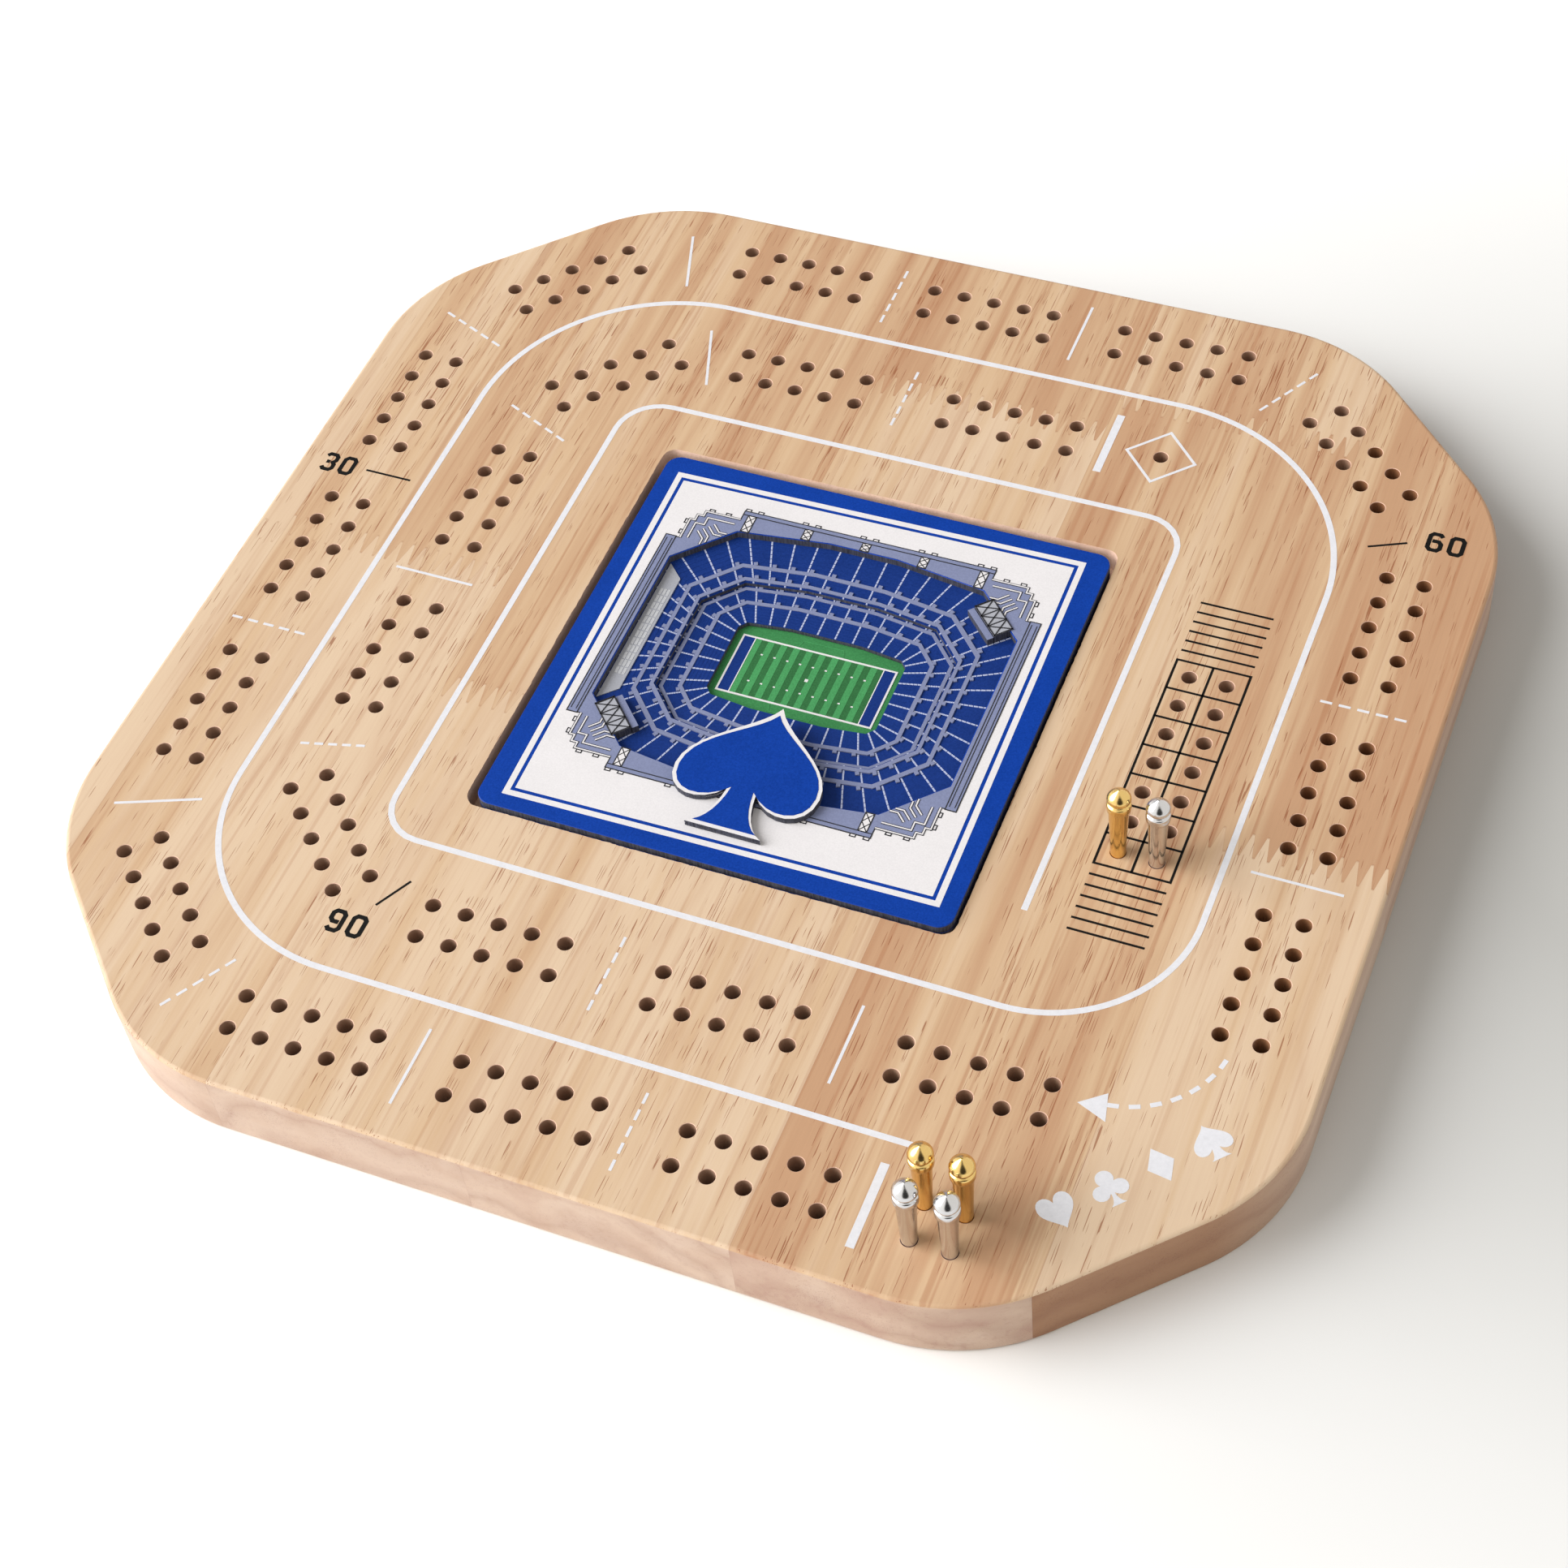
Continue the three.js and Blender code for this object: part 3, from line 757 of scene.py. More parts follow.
FINISH_DIAMOND = 1.07  # from its middle to a corner
ARROW_CENTRE = (12.66, -8.1)  # of the dashed bend
ARROW_HEAD = [(12.27, -11.11), (13.12, -11.44), (12.93, -10.6)]
SUITS_CENTRE = (14.31, -12.7)
# Each number with its middle and the tick that points at its hole.
NUMBERS = [
    ("30", (-16.7, 3.6), [(-15.74, 3.62), (-14.21, 3.62)]),
    ("60", (16.36, 10.5), [(14.24, 9.75), (15.29, 10.23)]),
    ("90", (-8.3, -12.14), [(-7.24, -10.28), (-7.81, -11.32)]),
]


class Artwork:
    """Flat shapes and lines in ink on one surface, drawn in pitches and placed by a function."""

    def __init__(self, place, surface):
        self.builder = Builder()
        self.place = place
        self.surface = surface

    def shape(self, outline, layers=1, slot=0, holes=()):
        top = self.surface + layers * INK_FILM
        self.builder.prism(self.place(outline), self.surface, top, slot, holes=holes)

    def line(self, points, width, layers=1, slot=0, closed=False):
        top = self.surface + layers * INK_FILM
        self.builder.ribbon(self.place(points), width * PITCH, self.surface, top, slot, closed)

    def dashes(self, start, end, width):
        count, gap = 5, 0.36
        along = (Vector(end) - Vector(start)) / (count - gap)
        for number in range(count):
            first = Vector(start) + along * number
            self.line([first, first + along * (1 - gap)], width)


def suit_diamond():
    return [Vector((0.36, 0)), Vector((0, 0.5)), Vector((-0.36, 0)), Vector((0, -0.5))]


def mirrored(right_half):
    """A closed outline from the points of its right half, bottom to top."""
    left_half = [Vector((-point.x, point.y)) for point in reversed(right_half) if abs(point.x) > 1e-9]
    return list(right_half) + left_half


def suit_heart():
    right = [Vector((0, -0.5))]
    right += bezier(right[-1], (0.12, -0.28), (0.46, -0.1), (0.46, 0.18), 8)
    right += bezier(right[-1], (0.46, 0.52), (0.08, 0.56), (0, 0.24), 8)
    return mirrored(right)


def spade(border=0.0):
    """A playing-card spade one unit high and wide, drawn in by a border on all sides."""
    foot = Vector((0.26 - 1.7 * border, -0.5 + border))
    neck = Vector((0.1 - 0.9 * border, -0.19 + 0.7 * border))
    lobe = 0.5 - border
    stem = bezier(foot, (0.167 - border, -0.46 + border), neck + Vector((0.013, -0.15)), neck, 6)
    low = bezier(neck, (0.22, -0.36 + border), (lobe, -0.34 + border), (lobe, -0.1), 8)
    high = bezier(low[-1], (lobe, 0.16), (0.1, 0.3 - border), (0, 0.5 - 2.2 * border), 10)
    return mirrored([foot, *stem, *low, *high])


def suit_club():
    right = [Vector((0.2, -0.5))]
    right += bezier(right[-1], (0.09, -0.44), (0.045, -0.3), (0.045, -0.17), 4)
    right += arc((0.25, -0.07), 0.215, math.radians(-150), math.radians(250), 10)
    right += arc((0, 0.27), 0.225, math.radians(-38), math.radians(128), 8)
    return mirrored(right)


SEVEN_BAR_DIGITS = {
    "0": [[(0, 0.86), (0.22, 1), (0.78, 1), (1, 0.86), (1, 0.14), (0.78, 0), (0.22, 0), (0, 0.14)]],
    "3": [
        [(0, 0.86), (0.22, 1), (0.78, 1), (1, 0.86), (1, 0.64), (0.78, 0.5), (1, 0.36), (1, 0.14),
         (0.78, 0), (0.22, 0), (0, 0.14)],
        [(0.2, 0.5), (0.52, 0.5)],
    ],
    "6": [
        [(1, 0.86), (0.78, 1), (0.22, 1), (0, 0.86), (0, 0.14), (0.22, 0), (0.78, 0), (1, 0.14),
         (1, 0.42), (0.78, 0.56), (0.25, 0.56)],
    ],
}
SEVEN_BAR_DIGITS["9"] = [[(1 - x, 1 - y) for x, y in line] for line in SEVEN_BAR_DIGITS["6"]]


def print_number(artwork, text, middle):
    """A block-figured number, centred on a place."""
    stroke, height, width, gap = 0.135, 0.645, 0.36, 0.275
    left = middle[0] - (len(text) * (width + gap) - gap) / 2
    for digit in text:
        for line in SEVEN_BAR_DIGITS[digit]:
            points = [(left + x * width, middle[1] + (y - 0.5) * height) for x, y in line]
            artwork.line(points, stroke, closed=digit == "0")
        left += width + gap


def print_white_marks():
    artwork = Artwork(on_board, TOP)
    artwork.line(rounded_path(LANE_LINE, LANE_LINE_RADII), 0.18)
    for line in BROAD_LINES:
        artwork.line(line, 0.24)
    for line in SOLID_LINES:
        artwork.line(line, THIN)
    for start, end in DASHED_LINES:
        artwork.dashes(start, end, THIN)
    artwork.line(circle(FINISH_HOLE, FINISH_DIAMOND, 4), THIN, closed=True)

    bend = arc(ARROW_CENTRE, 2.86, math.radians(-14.5), math.radians(-65.5), 12)
    for middle in bend[::2]:
        outward = (middle - Vector(ARROW_CENTRE)).normalized()
        along = Vector((outward.y, -outward.x)) * 0.15
        artwork.line([middle - along, middle + along], 0.13)
    artwork.shape(ARROW_HEAD)

    turn = Matrix.Rotation(math.radians(46.5), 2)
    for index, outline in enumerate([suit_heart(), suit_club(), suit_diamond(), spade()]):
        offset = Vector(((index - 1.5) * 1.45, 0))
        artwork.shape([Vector(SUITS_CENTRE) + turn @ (offset + point * 1.05) for point in outline])
    make_piece("white_marks", artwork.builder, [WHITE_INK])


def print_black_marks():
    artwork = Artwork(on_board, TOP)
    for text, middle, tick in NUMBERS:
        print_number(artwork, text, middle)
        artwork.line(tick, BLACK_LINE)
    left, right = 10.28, 12.44
    centre = sum(TALLY_COLUMNS) / 2
    top = TALLY_TOP + TALLY_STEP / 2
    bottom = TALLY_TOP - (TALLY_ROWS - 0.5) * TALLY_STEP
    artwork.line(rectangle(left, right, bottom, top), BLACK_LINE, closed=True)
    artwork.line([(centre, bottom), (centre, top)], BLACK_LINE)
    levels = [top - row * TALLY_STEP for row in range(1, TALLY_ROWS)]
    for step in range(1, 7):
        levels += [top + 0.38 * step, bottom - 0.38 * step]
    for level in levels:
        artwork.line([(left, level), (right, level)], BLACK_LINE)
    make_piece("black_marks", artwork.builder, [BLACK_INK])


print_white_marks()
print_black_marks()


# ------------------------------------------------------------------ medallion
# Each outline of the bowl is the corner in one quarter, in pitches from the middle of the bowl.
FRAME_OPENING = fourfold([(5.45, 2.8), (3.9, 4.35), (1.1, 4.72)])
UPPER_OPENING = fourfold([(4.0, 1.7), (3.0, 2.75), (1.1, 3.0)])
LOWER_OPENING = fourfold([(2.62, 1.2), (2.4, 1.45), (1.1, 1.6)])
ROOF_STEPS = [
    (5.47, 3.6), (5.47, 4.4), (5.31, 4.4), (5.31, 4.63), (5.12, 4.63), (5.12, 4.83), (4.0, 4.83),
]
ROOF_BORDER = [(5.25, 3.66), (5.25, 4.3), (4.97, 4.3), (4.97, 4.6), (4.1, 4.6)]
# The middle and the half sizes of each foot beside the roof.
ROOF_FEET = [
    (4.42, 4.91, 0.08, 0.045),
    (4.95, 4.91, 0.08, 0.045),
    (5.55, 4.3, 0.045, 0.08),
    (5.55, 3.85, 0.045, 0.08),
]
# Where each walkway starts and ends, as a share of the way down its deck.
UPPER_WALKWAYS = [(0.6, 0.68), (0.9, 0.97)]
LOWER_WALKWAYS = [(0.05, 0.13), (0.43, 0.52)]
SEAT_ROWS = 6
SEAT_RISE = 0.035 * MM
PRINT_TILT = math.radians(0.8)
MEDALLION_OUTLINE = rounded_rectangle(
    MEDALLION_HALF, MEDALLION_HALF, MEDALLION_RADIUS, 6, MEDALLION_CENTRE
)


def in_bowl(points):
    return [BOWL_CENTRE + Vector(point) * PITCH for point in points]


def on_medallion(points):
    """Places on the medallion's face, in pitches from its middle, turned with its print."""
    turn = Matrix.Rotation(PRINT_TILT, 2)
    return [MEDALLION_CENTRE + turn @ (Vector(point) * PITCH) for point in points]


def bowl_band(builder, outer, inner, profile, slot):
    """A closed band round the bowl, from (share of the way in, height) pairs."""
    rings = []
    for share, z in profile:
        outline = [Vector(far).lerp(Vector(near), share) for far, near in zip(outer, inner)]
        rings.append(builder.ring(in_bowl(outline), z))
    builder.loft(rings + [rings[0]], slot)


def terrace_profile(start, end, base):
    """Seat rows as steps that come down towards the field, closed underneath."""
    profile = [(start, base)]
    for row in range(SEAT_ROWS):
        z = base + SEAT_RISE * (SEAT_ROWS - row)
        for edge in (row, row + 1):
            profile.append((start + (end - start) * edge / SEAT_ROWS, z))
    return profile + [(end, base)]


def flights(outer, inner, spacing, place):
    """The far and the near end of evenly spaced lines down the stand."""
    for index in range(len(outer)):
        sides = [(Vector(line[index - 1]), Vector(line[index])) for line in (outer, inner)]
        count = max(1, round((sides[0][1] - sides[0][0]).length / spacing))
        for number in range(count):
            yield [start.lerp(end, (number + place) / count) for start, end in sides]


def aisles(builder, outer, inner, start, end, base, spacing):
    """Flights of pale steps that run down between the seats."""
    for far, near in flights(outer, inner, spacing, 0.5):
        for row in range(SEAT_ROWS):
            z = base + SEAT_RISE * (SEAT_ROWS - row)
            shares = [start + (end - start) * (row + place) / SEAT_ROWS for place in (0.03, 0.9)]
            steps = in_bowl([far.lerp(near, share) for share in shares])
            builder.ribbon(steps, 0.05 * PITCH, z - 0.02 * MM, z + 0.05 * MM, 1)


def make_deck(name, node, outer, inner, walkways, spacing):
    """One seating deck: a sawn plate, stepped seats, pale aisles and grey walkways."""
    low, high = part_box(node)
    base = high.z
    builder = Builder()
    builder.prism(MEDALLION_OUTLINE, low.z, base, 0, 3, 0.1 * MM, [in_bowl(inner)])
    starts = [0.0] + [end for _, end in walkways]
    ends = [start for start, _ in walkways] + [1.0]
    stands = list(zip(starts, ends))
    for number, (start, end) in enumerate(reversed(stands)):
        level = base + number * SEAT_RISE
        bowl_band(builder, outer, inner, terrace_profile(start, end, level), 0)
        aisles(builder, outer, inner, start, end, level, spacing)
    for start, end in walkways:
        top = base + 0.38 * MM
        bowl_band(builder, outer, inner, [(start, base), (start, top), (end, top), (end, base)], 2)
        for far, near in flights(outer, inner, spacing, 0.28):
            stair_head = in_bowl([far.lerp(near, share) for share in (start - 0.07, start)])
            builder.ribbon(stair_head, 0.12 * PITCH, base, base + 0.4 * MM, 2)
    materials = [SEAT_BLUE, AISLE_GREY, STONE_GREY, SAWN_EDGE]
    make_piece(name, builder, materials, [node])


def make_frame():
    builder = Builder()
    opening = in_bowl(FRAME_OPENING)
    builder.prism(MEDALLION_OUTLINE, FRAME_LOW.z, FRAME_TOP, 0, 1, 0.15 * MM, [opening])
    materials = [BORDER_BLUE, SAWN_EDGE]
    make_piece("printed_frame", builder, materials, ["medallion_frame"])


class RoofPrint(Artwork):
    """The print on the medallion's frame round the bowl, in pitches from the middle of the bowl."""

    WHITE, GREY, BLACK = range(3)

    def area(self, outline, layers, slot, holes=()):
        """A filled shape with a thin dark outline."""
        self.shape(outline, layers, slot, holes)
        self.line(outline, 0.035, layers + 0.5, self.BLACK, closed=True)

    def stroke(self, start, end):
        self.line([start, end], 0.028, 4, self.BLACK)

    def pale_stripe(self, points):
        """A white line with a dark edge on each side."""
        self.line(points, 0.085, 4, self.BLACK)
        self.line(points, 0.04, 5, self.WHITE)

    def beam(self, flip):
        """The long beam on one side of the bowl, with its feet and cross-braced towers."""
        far = 5.06 * flip
        for number in range(-2, 3):
            x = number * 1.85
            near = (4.74 - max(0, abs(x) - 1.1) * 0.132) * flip
            left, right = x - 0.13, x + 0.13
            self.area(rectangle(left, right, near, far), 3, self.WHITE)
            middle = (near + far) / 2
            for low, high in ((near, middle), (middle, far)):
                self.stroke((left, low), (right, high))
                self.stroke((right, low), (left, high))
            for foot in (x - 0.2, x + 0.2):
                outline = rectangle(foot - 0.08, foot + 0.08, 5.2 * flip, 5.3 * flip)
                self.area(outline, 2, self.WHITE)
        self.area(rectangle(-4.0, 4.0, far, 5.21 * flip), 3, self.GREY)

    def end_beam(self, flip):
        """The double rail along one end of the bowl."""
        self.area(rectangle(5.6 * flip, 5.92 * flip, -3.62, 3.62), 3, self.GREY)
        for x in (5.68, 5.84):
            self.stroke((x * flip, -3.5), (x * flip, 3.5))

    def corner(self, flip_x, flip_y):
        """The stepped edge of the roof with its feet, a border inside it and four bent ramps."""

        def placed(points):
            return [(x * flip_x, y * flip_y) for x, y in points]

        self.pale_stripe(placed(ROOF_STEPS))
        self.pale_stripe(placed(ROOF_BORDER))
        for x, y, half_x, half_y in ROOF_FEET:
            foot = rectangle(x - half_x, x + half_x, y - half_y, y + half_y)
            self.area(placed(foot), 2, self.WHITE)
        for number in (-1.5, -0.5, 0.5, 1.5):
            tip = Vector((4.87 + 0.128 * number, 4.21 - 0.128 * number))
            bend = tip - Vector((0.26, 0.26))
            end = bend - Vector((0, 0.25) if number > 0 else (0.25, 0))
            self.pale_stripe(placed([tip, bend, end]))


def make_frame_print():
    """White lines and ground, and the grey roof round the bowl with its dark outlines."""
    artwork = RoofPrint(in_bowl, FRAME_TOP)
    opening = in_bowl([Vector(point) * 1.006 for point in FRAME_OPENING])
    artwork.area(fourfold([(5.9, 3.6), *ROOF_STEPS, (4.0, 5.21)]), 2, artwork.GREY, [opening])
    for flip in (1, -1):
        artwork.beam(flip)
        artwork.end_beam(flip)
        for other in (1, -1):
            artwork.corner(flip, other)
    line_outside, line_inside, ground = [
        on_medallion(fourfold([(half, half + 0.05)])) for half in (6.5, 6.32, 6.21)
    ]
    for outline, hole in ((line_outside, line_inside), (ground, opening)):
        artwork.builder.prism(outline, FRAME_TOP, FRAME_TOP + INK_FILM, artwork.WHITE, holes=[hole])
    materials = [BORDER_WHITE, STONE_GREY, LINE_BLACK]
    make_piece("frame_print", artwork.builder, materials)


def make_concourse():
    """The flat grey deck at the left end of the bowl, with rows of pale benches."""
    builder = Builder()
    deck = DECK_TOP + 0.42 * MM
    outline = [(-5.42, -2.74), (-4.9, -2.24), (-4.9, 2.24), (-5.42, 2.74)]
    builder.prism(in_bowl(outline), DECK_TOP, deck, 0)
    for row in range(3):
        x = -5.3 + 0.115 * row
        for bench in range(12):
            y = -1.75 + 3.5 * (bench + 0.5) / 12
            seat = in_bowl(rectangle(x, x + 0.085, y - 0.125, y + 0.125))
            builder.prism(seat, deck, deck + 0.06 * MM, 1)
    make_piece("end_concourse", builder, [PALE_GREY, BENCH_GREY])


def make_corner_screens():
    """The two cross-braced screens that stand across opposite corners of the bowl."""
    builder = Builder()
    top = FRAME_TOP + 0.25 * MM
    half_x, half_y = 0.65, 0.31
    panel = 2 * half_x / 3
    turn = Matrix.Rotation(math.radians(-45), 2)
    for sign in (1, -1):
        middle = Vector((4.55, 3.42)) * sign

        def turned(points):
            return in_bowl([middle + turn @ Vector(point) for point in points])

        def line(points, closed=False):
            builder.ribbon(turned(points), 0.035 * PITCH, top, top + 3 * INK_FILM, 2, closed)

        builder.prism(turned(fourfold([(half_x, half_y)])), DECK_TOP, top, 0, 1)
        for number in range(3):
            left = number * panel - half_x
            line([(left, -half_y), (left + panel, half_y)])
            line([(left, half_y), (left + panel, -half_y)])
            line([(left, -half_y), (left, half_y)])
        line(fourfold([(half_x - 0.02, half_y - 0.02)]), closed=True)
        front = -sign * (half_y + 0.12)
        ledge = turned(rectangle(-half_x, half_x, front - 0.1, front + 0.1))
        builder.prism(ledge, DECK_TOP, top - 0.35 * MM, 3, 1)
    materials = [PALE_GREY, SAWN_EDGE, LINE_BLACK, STONE_GREY]
    make_piece("corner_screens", builder, materials)


def make_field():
    """The green field plate with its mown stripes, end zones and white lines."""
    low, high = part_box("field_plate")
    artwork = Artwork(in_bowl, high.z)
    dark, light, deep, white, blue, edge = range(6)
    artwork.builder.prism(MEDALLION_OUTLINE, low.z, high.z, deep, edge, 0.1 * MM)

    def mark(x, y, half_x, half_y):
        artwork.shape(rectangle(x - half_x, x + half_x, y - half_y, y + half_y), 4, white)

    half_x, half_y, goal_x = 2.36, 1.06, 2.01
    artwork.shape(rectangle(-half_x, half_x, -half_y, half_y), 1, dark)
    stripe = 2 * goal_x / 20
    for number in range(0, 20, 2):
        left = number * stripe - goal_x
        artwork.shape(rectangle(left, left + stripe, -half_y, half_y), 2, light)
    for side in (-1, 1):
        artwork.shape(rectangle(side * half_x, side * goal_x, -half_y, half_y), 3, blue)
        mark(side * goal_x, 0, 0.015, half_y)
        for number in range(-4, 5):
            mark(number * stripe * 2, side * 0.52, 0.035, 0.022)
        near, far = side * 1.14, side * 1.4
        artwork.line([(-0.7, near), (-0.62, far), (0.62, far), (0.7, near)], 0.02, 2, light)
    artwork.line(fourfold([(half_x + 0.03, half_y + 0.03)]), 0.06, 4, white, closed=True)
    mark(0, 0, 0.05, 0.05)
    materials = [TURF_DARK, TURF_LIGHT, TURF_DEEP, BORDER_WHITE, SEAT_BLUE, SAWN_EDGE]
    make_piece("playing_field", artwork.builder, materials, ["field_plate"])


def make_emblem():
    """A spade cut from three glued layers, with a blue face inside a white border."""
    low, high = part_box("spade_emblem")
    builder = Builder()
    white, blue, edge = range(3)
    base = FRAME_TOP + 6 * INK_FILM
    seam = (base + high.z) / 2
    under_seam, over_seam = seam - 0.08 * MM, seam + 0.08 * MM
    for border, bottom, top, slot, side_slot in (
        (0.0, base, under_seam, edge, edge),
        (0.005, under_seam, over_seam, white, white),
        (0.0, over_seam, high.z - 0.06 * MM, white, edge),
        (0.026, high.z - 0.1 * MM, high.z, blue, blue),
    ):
        size = (high - low).xy
        outline = [(low + high).xy / 2 + point * size for point in spade(border)]
        builder.prism(outline, bottom, top, slot, side_slot)
    materials = [BORDER_WHITE, BORDER_BLUE, SAWN_EDGE]
    make_piece("emblem", builder, materials, ["spade_emblem"])


make_frame()
make_frame_print()
make_concourse()
make_corner_screens()
make_deck("upper_seats", "upper_deck", FRAME_OPENING, UPPER_OPENING, UPPER_WALKWAYS, 0.66)
make_deck("lower_seats", "lower_deck", UPPER_OPENING, LOWER_OPENING, LOWER_WALKWAYS, 0.58)
make_field()
make_emblem()


# ------------------------------------------------------------------ pegs
# Half section of a peg: radius, and height above its tip, in millimetres.
PEG_LENGTH = 27.5
PEG_SECTION = [
    (0, 0), (0.5, 0.03), (0.85, 0.15), (1.1, 0.38), (1.22, 0.75), (1.34, 3.0), (1.53, 8.3),
    (1.66, 12.5), (1.87, 18.0), (2.0, 21.5), (2.03, 21.75), (2.24, 21.85), (2.36, 22.05),
    (2.4, 22.4), (2.4, 23.2), (2.36, 23.55), (2.22, 23.75), (1.95, 23.82), (1.82, 23.95),
    (1.8, 24.15), (1.84, 24.35), (2.05, 24.45), (2.28, 24.6), (2.38, 24.85), (2.38, 25.1),
    (2.31, 25.45), (2.1, 25.84), (1.72, 26.26), (1.26, 26.66), (0.8, 27.0), (0.36, 27.3),
    (0.14, 27.46), (0, 27.5),
]


def make_peg(node, material):
    low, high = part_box(node)
    builder = Builder()
    stretch = (high.z - low.z) / PEG_LENGTH
    profile = [(radius * MM, low.z + height * stretch) for radius, height in PEG_SECTION]
    builder.revolve(profile, 40, (low + high).xy / 2)
    make_piece(f"{node}_turned", builder, [material], [node], f"{node}_body", 50)


for peg_node in sorted(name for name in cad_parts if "peg" in name):
    is_gold = peg_node.startswith("gold")
    make_peg(peg_node, GOLD if is_gold else NICKEL)


# ------------------------------------------------------------------ peg store cover
def bored_plate(outline, bore, low, high, bevel, steps):
    """A plate with a screw hole and bevelled edges, from a function that draws its inset outline."""
    builder = Builder()
    levels = [(bevel, low), (0, low + bevel), (0, high - bevel), (bevel, high)]
    outside = [builder.ring(outline(inset), z) for inset, z in levels]
    inside = builder.round_rings([(bore + inset, z) for inset, z in levels], steps)
    builder.loft(outside)
    builder.loft(inside)
    for end in (0, -1):
        builder.fill([outside[end], inside[end]])
    return builder


def make_cover():
    low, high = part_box("storage_cover")
    half = (high - low).xy / 2

    def outline(inset):
        radius = COVER_RADIUS - inset
        return rounded_rectangle(half.x - inset, half.y - inset, radius, 10, (low + high).xy / 2)

    builder = bored_plate(outline, SCREW_BORE, low.z, high.z, 0.2 * MM, 36)
    make_piece(
        "swivel_cover", builder, [BRUSHED_STEEL], ["storage_cover"], "cover_body"
    )


def make_washer():
    radius = (WASHER_HIGH.x - WASHER_LOW.x) / 2

    def outline(inset):
        return circle((0, 0), radius - inset, 40)

    builder = bored_plate(outline, SCREW_BORE, WASHER_LOW.z, WASHER_HIGH.z, 0.1 * MM, 40)
    make_piece("pivot_washer", builder, [SCREW_STEEL], ["cover_washer"])


def make_screw():
    """A low domed head with a sunk cross, and a threaded shank."""
    builder = Builder()
    low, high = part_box("cover_screw")
    head_radius = (high.x - low.x) / 2
    head_top = low.z + 0.9 * MM
    arm, half_slot, sink = 2.0 * MM, 0.4 * MM, 0.5 * MM
    cross = fourfold([(arm, half_slot), (half_slot, half_slot), (half_slot, arm)])
    mouth = builder.ring(cross, low.z)
    floor = builder.ring([Vector(point) * 0.8 for point in cross], low.z + sink)
    builder.loft([mouth, floor])
    builder.fill([floor])
    dome = [(0.78, 0.0), (0.9, 0.08), (0.97, 0.24), (1.0, 0.45), (1.0, 0.8), (0.97, 0.9)]
    profile = [(head_radius * share, low.z + rise * MM) for share, rise in dome]
    core, crest, turns = 1.1 * MM, 1.45 * MM, 8
    thread_pitch = (high.z - 1.0 * MM - head_top) / turns
    profile.append((core, head_top))
    for turn in range(turns):
        for radius, share in ((core, 0.3), (crest, 0.65), (core, 1)):
            profile.append((radius, head_top + (turn + share) * thread_pitch))
    profile.append((0.2 * MM, high.z))
    rings = builder.round_rings(profile, 40)
    builder.fill([rings[0], mouth])
    builder.loft(rings)
    builder.fill([rings[-1]])
    make_piece("pivot_screw", builder, [SCREW_STEEL], ["cover_screw"])


make_cover()
make_washer()
make_screw()

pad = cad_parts["adhesive_pad"]
pad.data.materials.clear()
pad.data.materials.append(foam_material())


# ------------------------------------------------------------------ floor, lights and camera
def make_floor():
    """Paper with a painted shadow: grey beside the board on its shaded side, whitening away from
    there.
    """
    builder = Builder()
    builder.prism(circle((0, 0), 3.0, 96), -0.02, 0)
    mesh = bpy.data.meshes.new("floor")
    mesh.from_pydata(builder.verts, [], builder.faces)
    floor = bpy.data.objects.new("floor", mesh)
    shader = Shader("floor_paper_painted_shadow", (0.8, 0.8, 0.79), 0.8)
    place = shader.millimetres((0.002, 0.002, 0.002))
    distance = shader.vectors("DISTANCE", place, (0.38, 0.06, 0))["Value"]
    grain = shader.noise(shader.millimetres(), scale=0.02, detail=3)
    reach = shader.math("MULTIPLY_ADD", grain, 0.02, distance)
    # painted shadow on the paper, darkest beside the board's shaded side
    shade, half_shade, paper = (0.5, 0.5, 0.48), (0.76, 0.76, 0.745), (0.93, 0.93, 0.92)
    shader.color(shader.ramp(reach, (0.1, shade), (0.3, half_shade), (0.52, paper)))
    mesh.materials.append(shader.material)
    bpy.context.scene.collection.objects.link(floor)


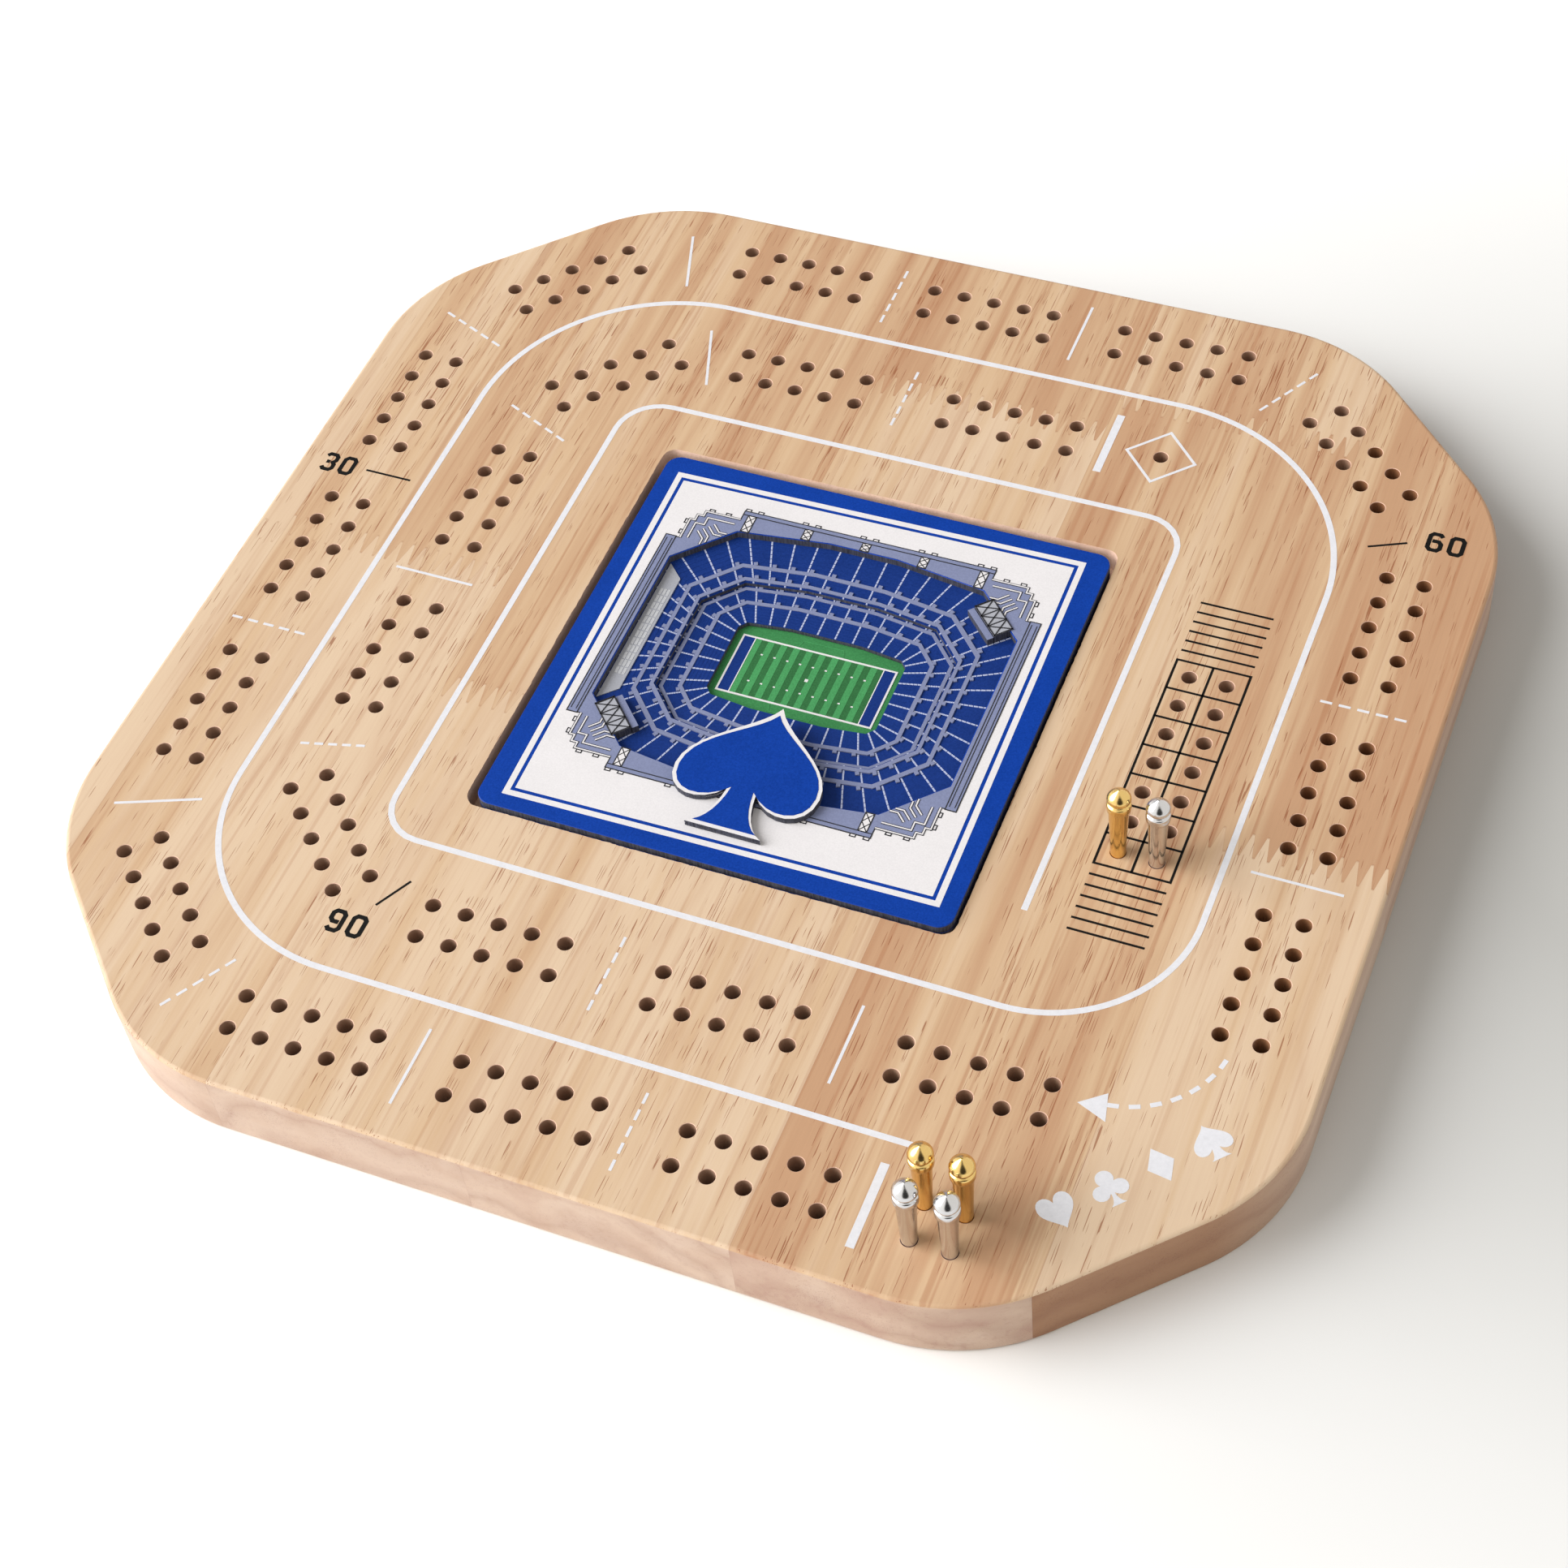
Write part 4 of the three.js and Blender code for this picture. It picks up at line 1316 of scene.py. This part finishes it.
def make_window():
    """A large round light on the left that shines at the board."""
    data = bpy.data.lights.new("window", "AREA")
    data.shape = "DISK"
    data.size = 4.6
    data.energy = 345
    data.color = (0.98, 0.98, 1.0)
    light = bpy.data.objects.new("window", data)
    light.location = (-3.94, -1.43, 2.72)
    light.rotation_euler = (-light.location).to_track_quat("-Z", "Y").to_euler()
    bpy.context.scene.collection.objects.link(light)


def make_room():
    """Pale surroundings with a bright left side, a dark far wall and someone standing in front."""
    world = bpy.data.worlds.new("studio")
    world.use_nodes = True
    studio = NodeTree(world.node_tree)
    direction = studio.nodes.new("ShaderNodeTexCoord").outputs["Generated"]

    def glow(toward, *stops):
        """A colour that changes with the angle from one direction."""
        toward = tuple(Vector(toward).normalized())
        return studio.ramp(studio.vectors("DOT_PRODUCT", direction, toward)["Value"], *stops)

    light = glow((-0.9, -0.3, 0.3), (0.0, (0.9, 0.87, 0.82)), (0.9, (1.25, 1.23, 1.18)))
    dark_wall = glow((-0.3, 0.6, 0.74), (0.55, 1.0), (0.85, (0.15, 0.15, 0.16)))
    onlooker = glow((0.42, -0.8, 0.5), (0.87, 1.0), (0.94, 0.04))
    for shade in (dark_wall, onlooker):
        light = studio.mix(1.0, light, shade, blend="MULTIPLY")
    sky = studio.nodes["Background"].inputs
    studio.put(sky["Color"], light)
    studio.put(sky["Strength"], 1.05)
    bpy.context.scene.world = world


def make_camera():
    """Level with the photographed view: from above the near right, with a small roll."""
    data = bpy.data.cameras.new("camera")
    data.sensor_width = 36
    data.lens = 67.1
    data.clip_start = 0.01
    camera = bpy.data.objects.new("camera", data)
    back = Vector((0.2906, -0.5553, 0.7792)).normalized()
    up = back.cross(Vector((0.9247, 0.3722, -0.0797))).normalized()
    turn = Matrix((up.cross(back), up, back)).transposed().to_4x4()
    camera.matrix_world = Matrix.Translation((0.1774, -0.349, 0.4673)) @ turn
    bpy.context.scene.collection.objects.link(camera)
    bpy.context.scene.camera = camera


make_floor()
make_room()
make_window()
make_camera()
bpy.context.scene.view_settings.view_transform = "Standard"
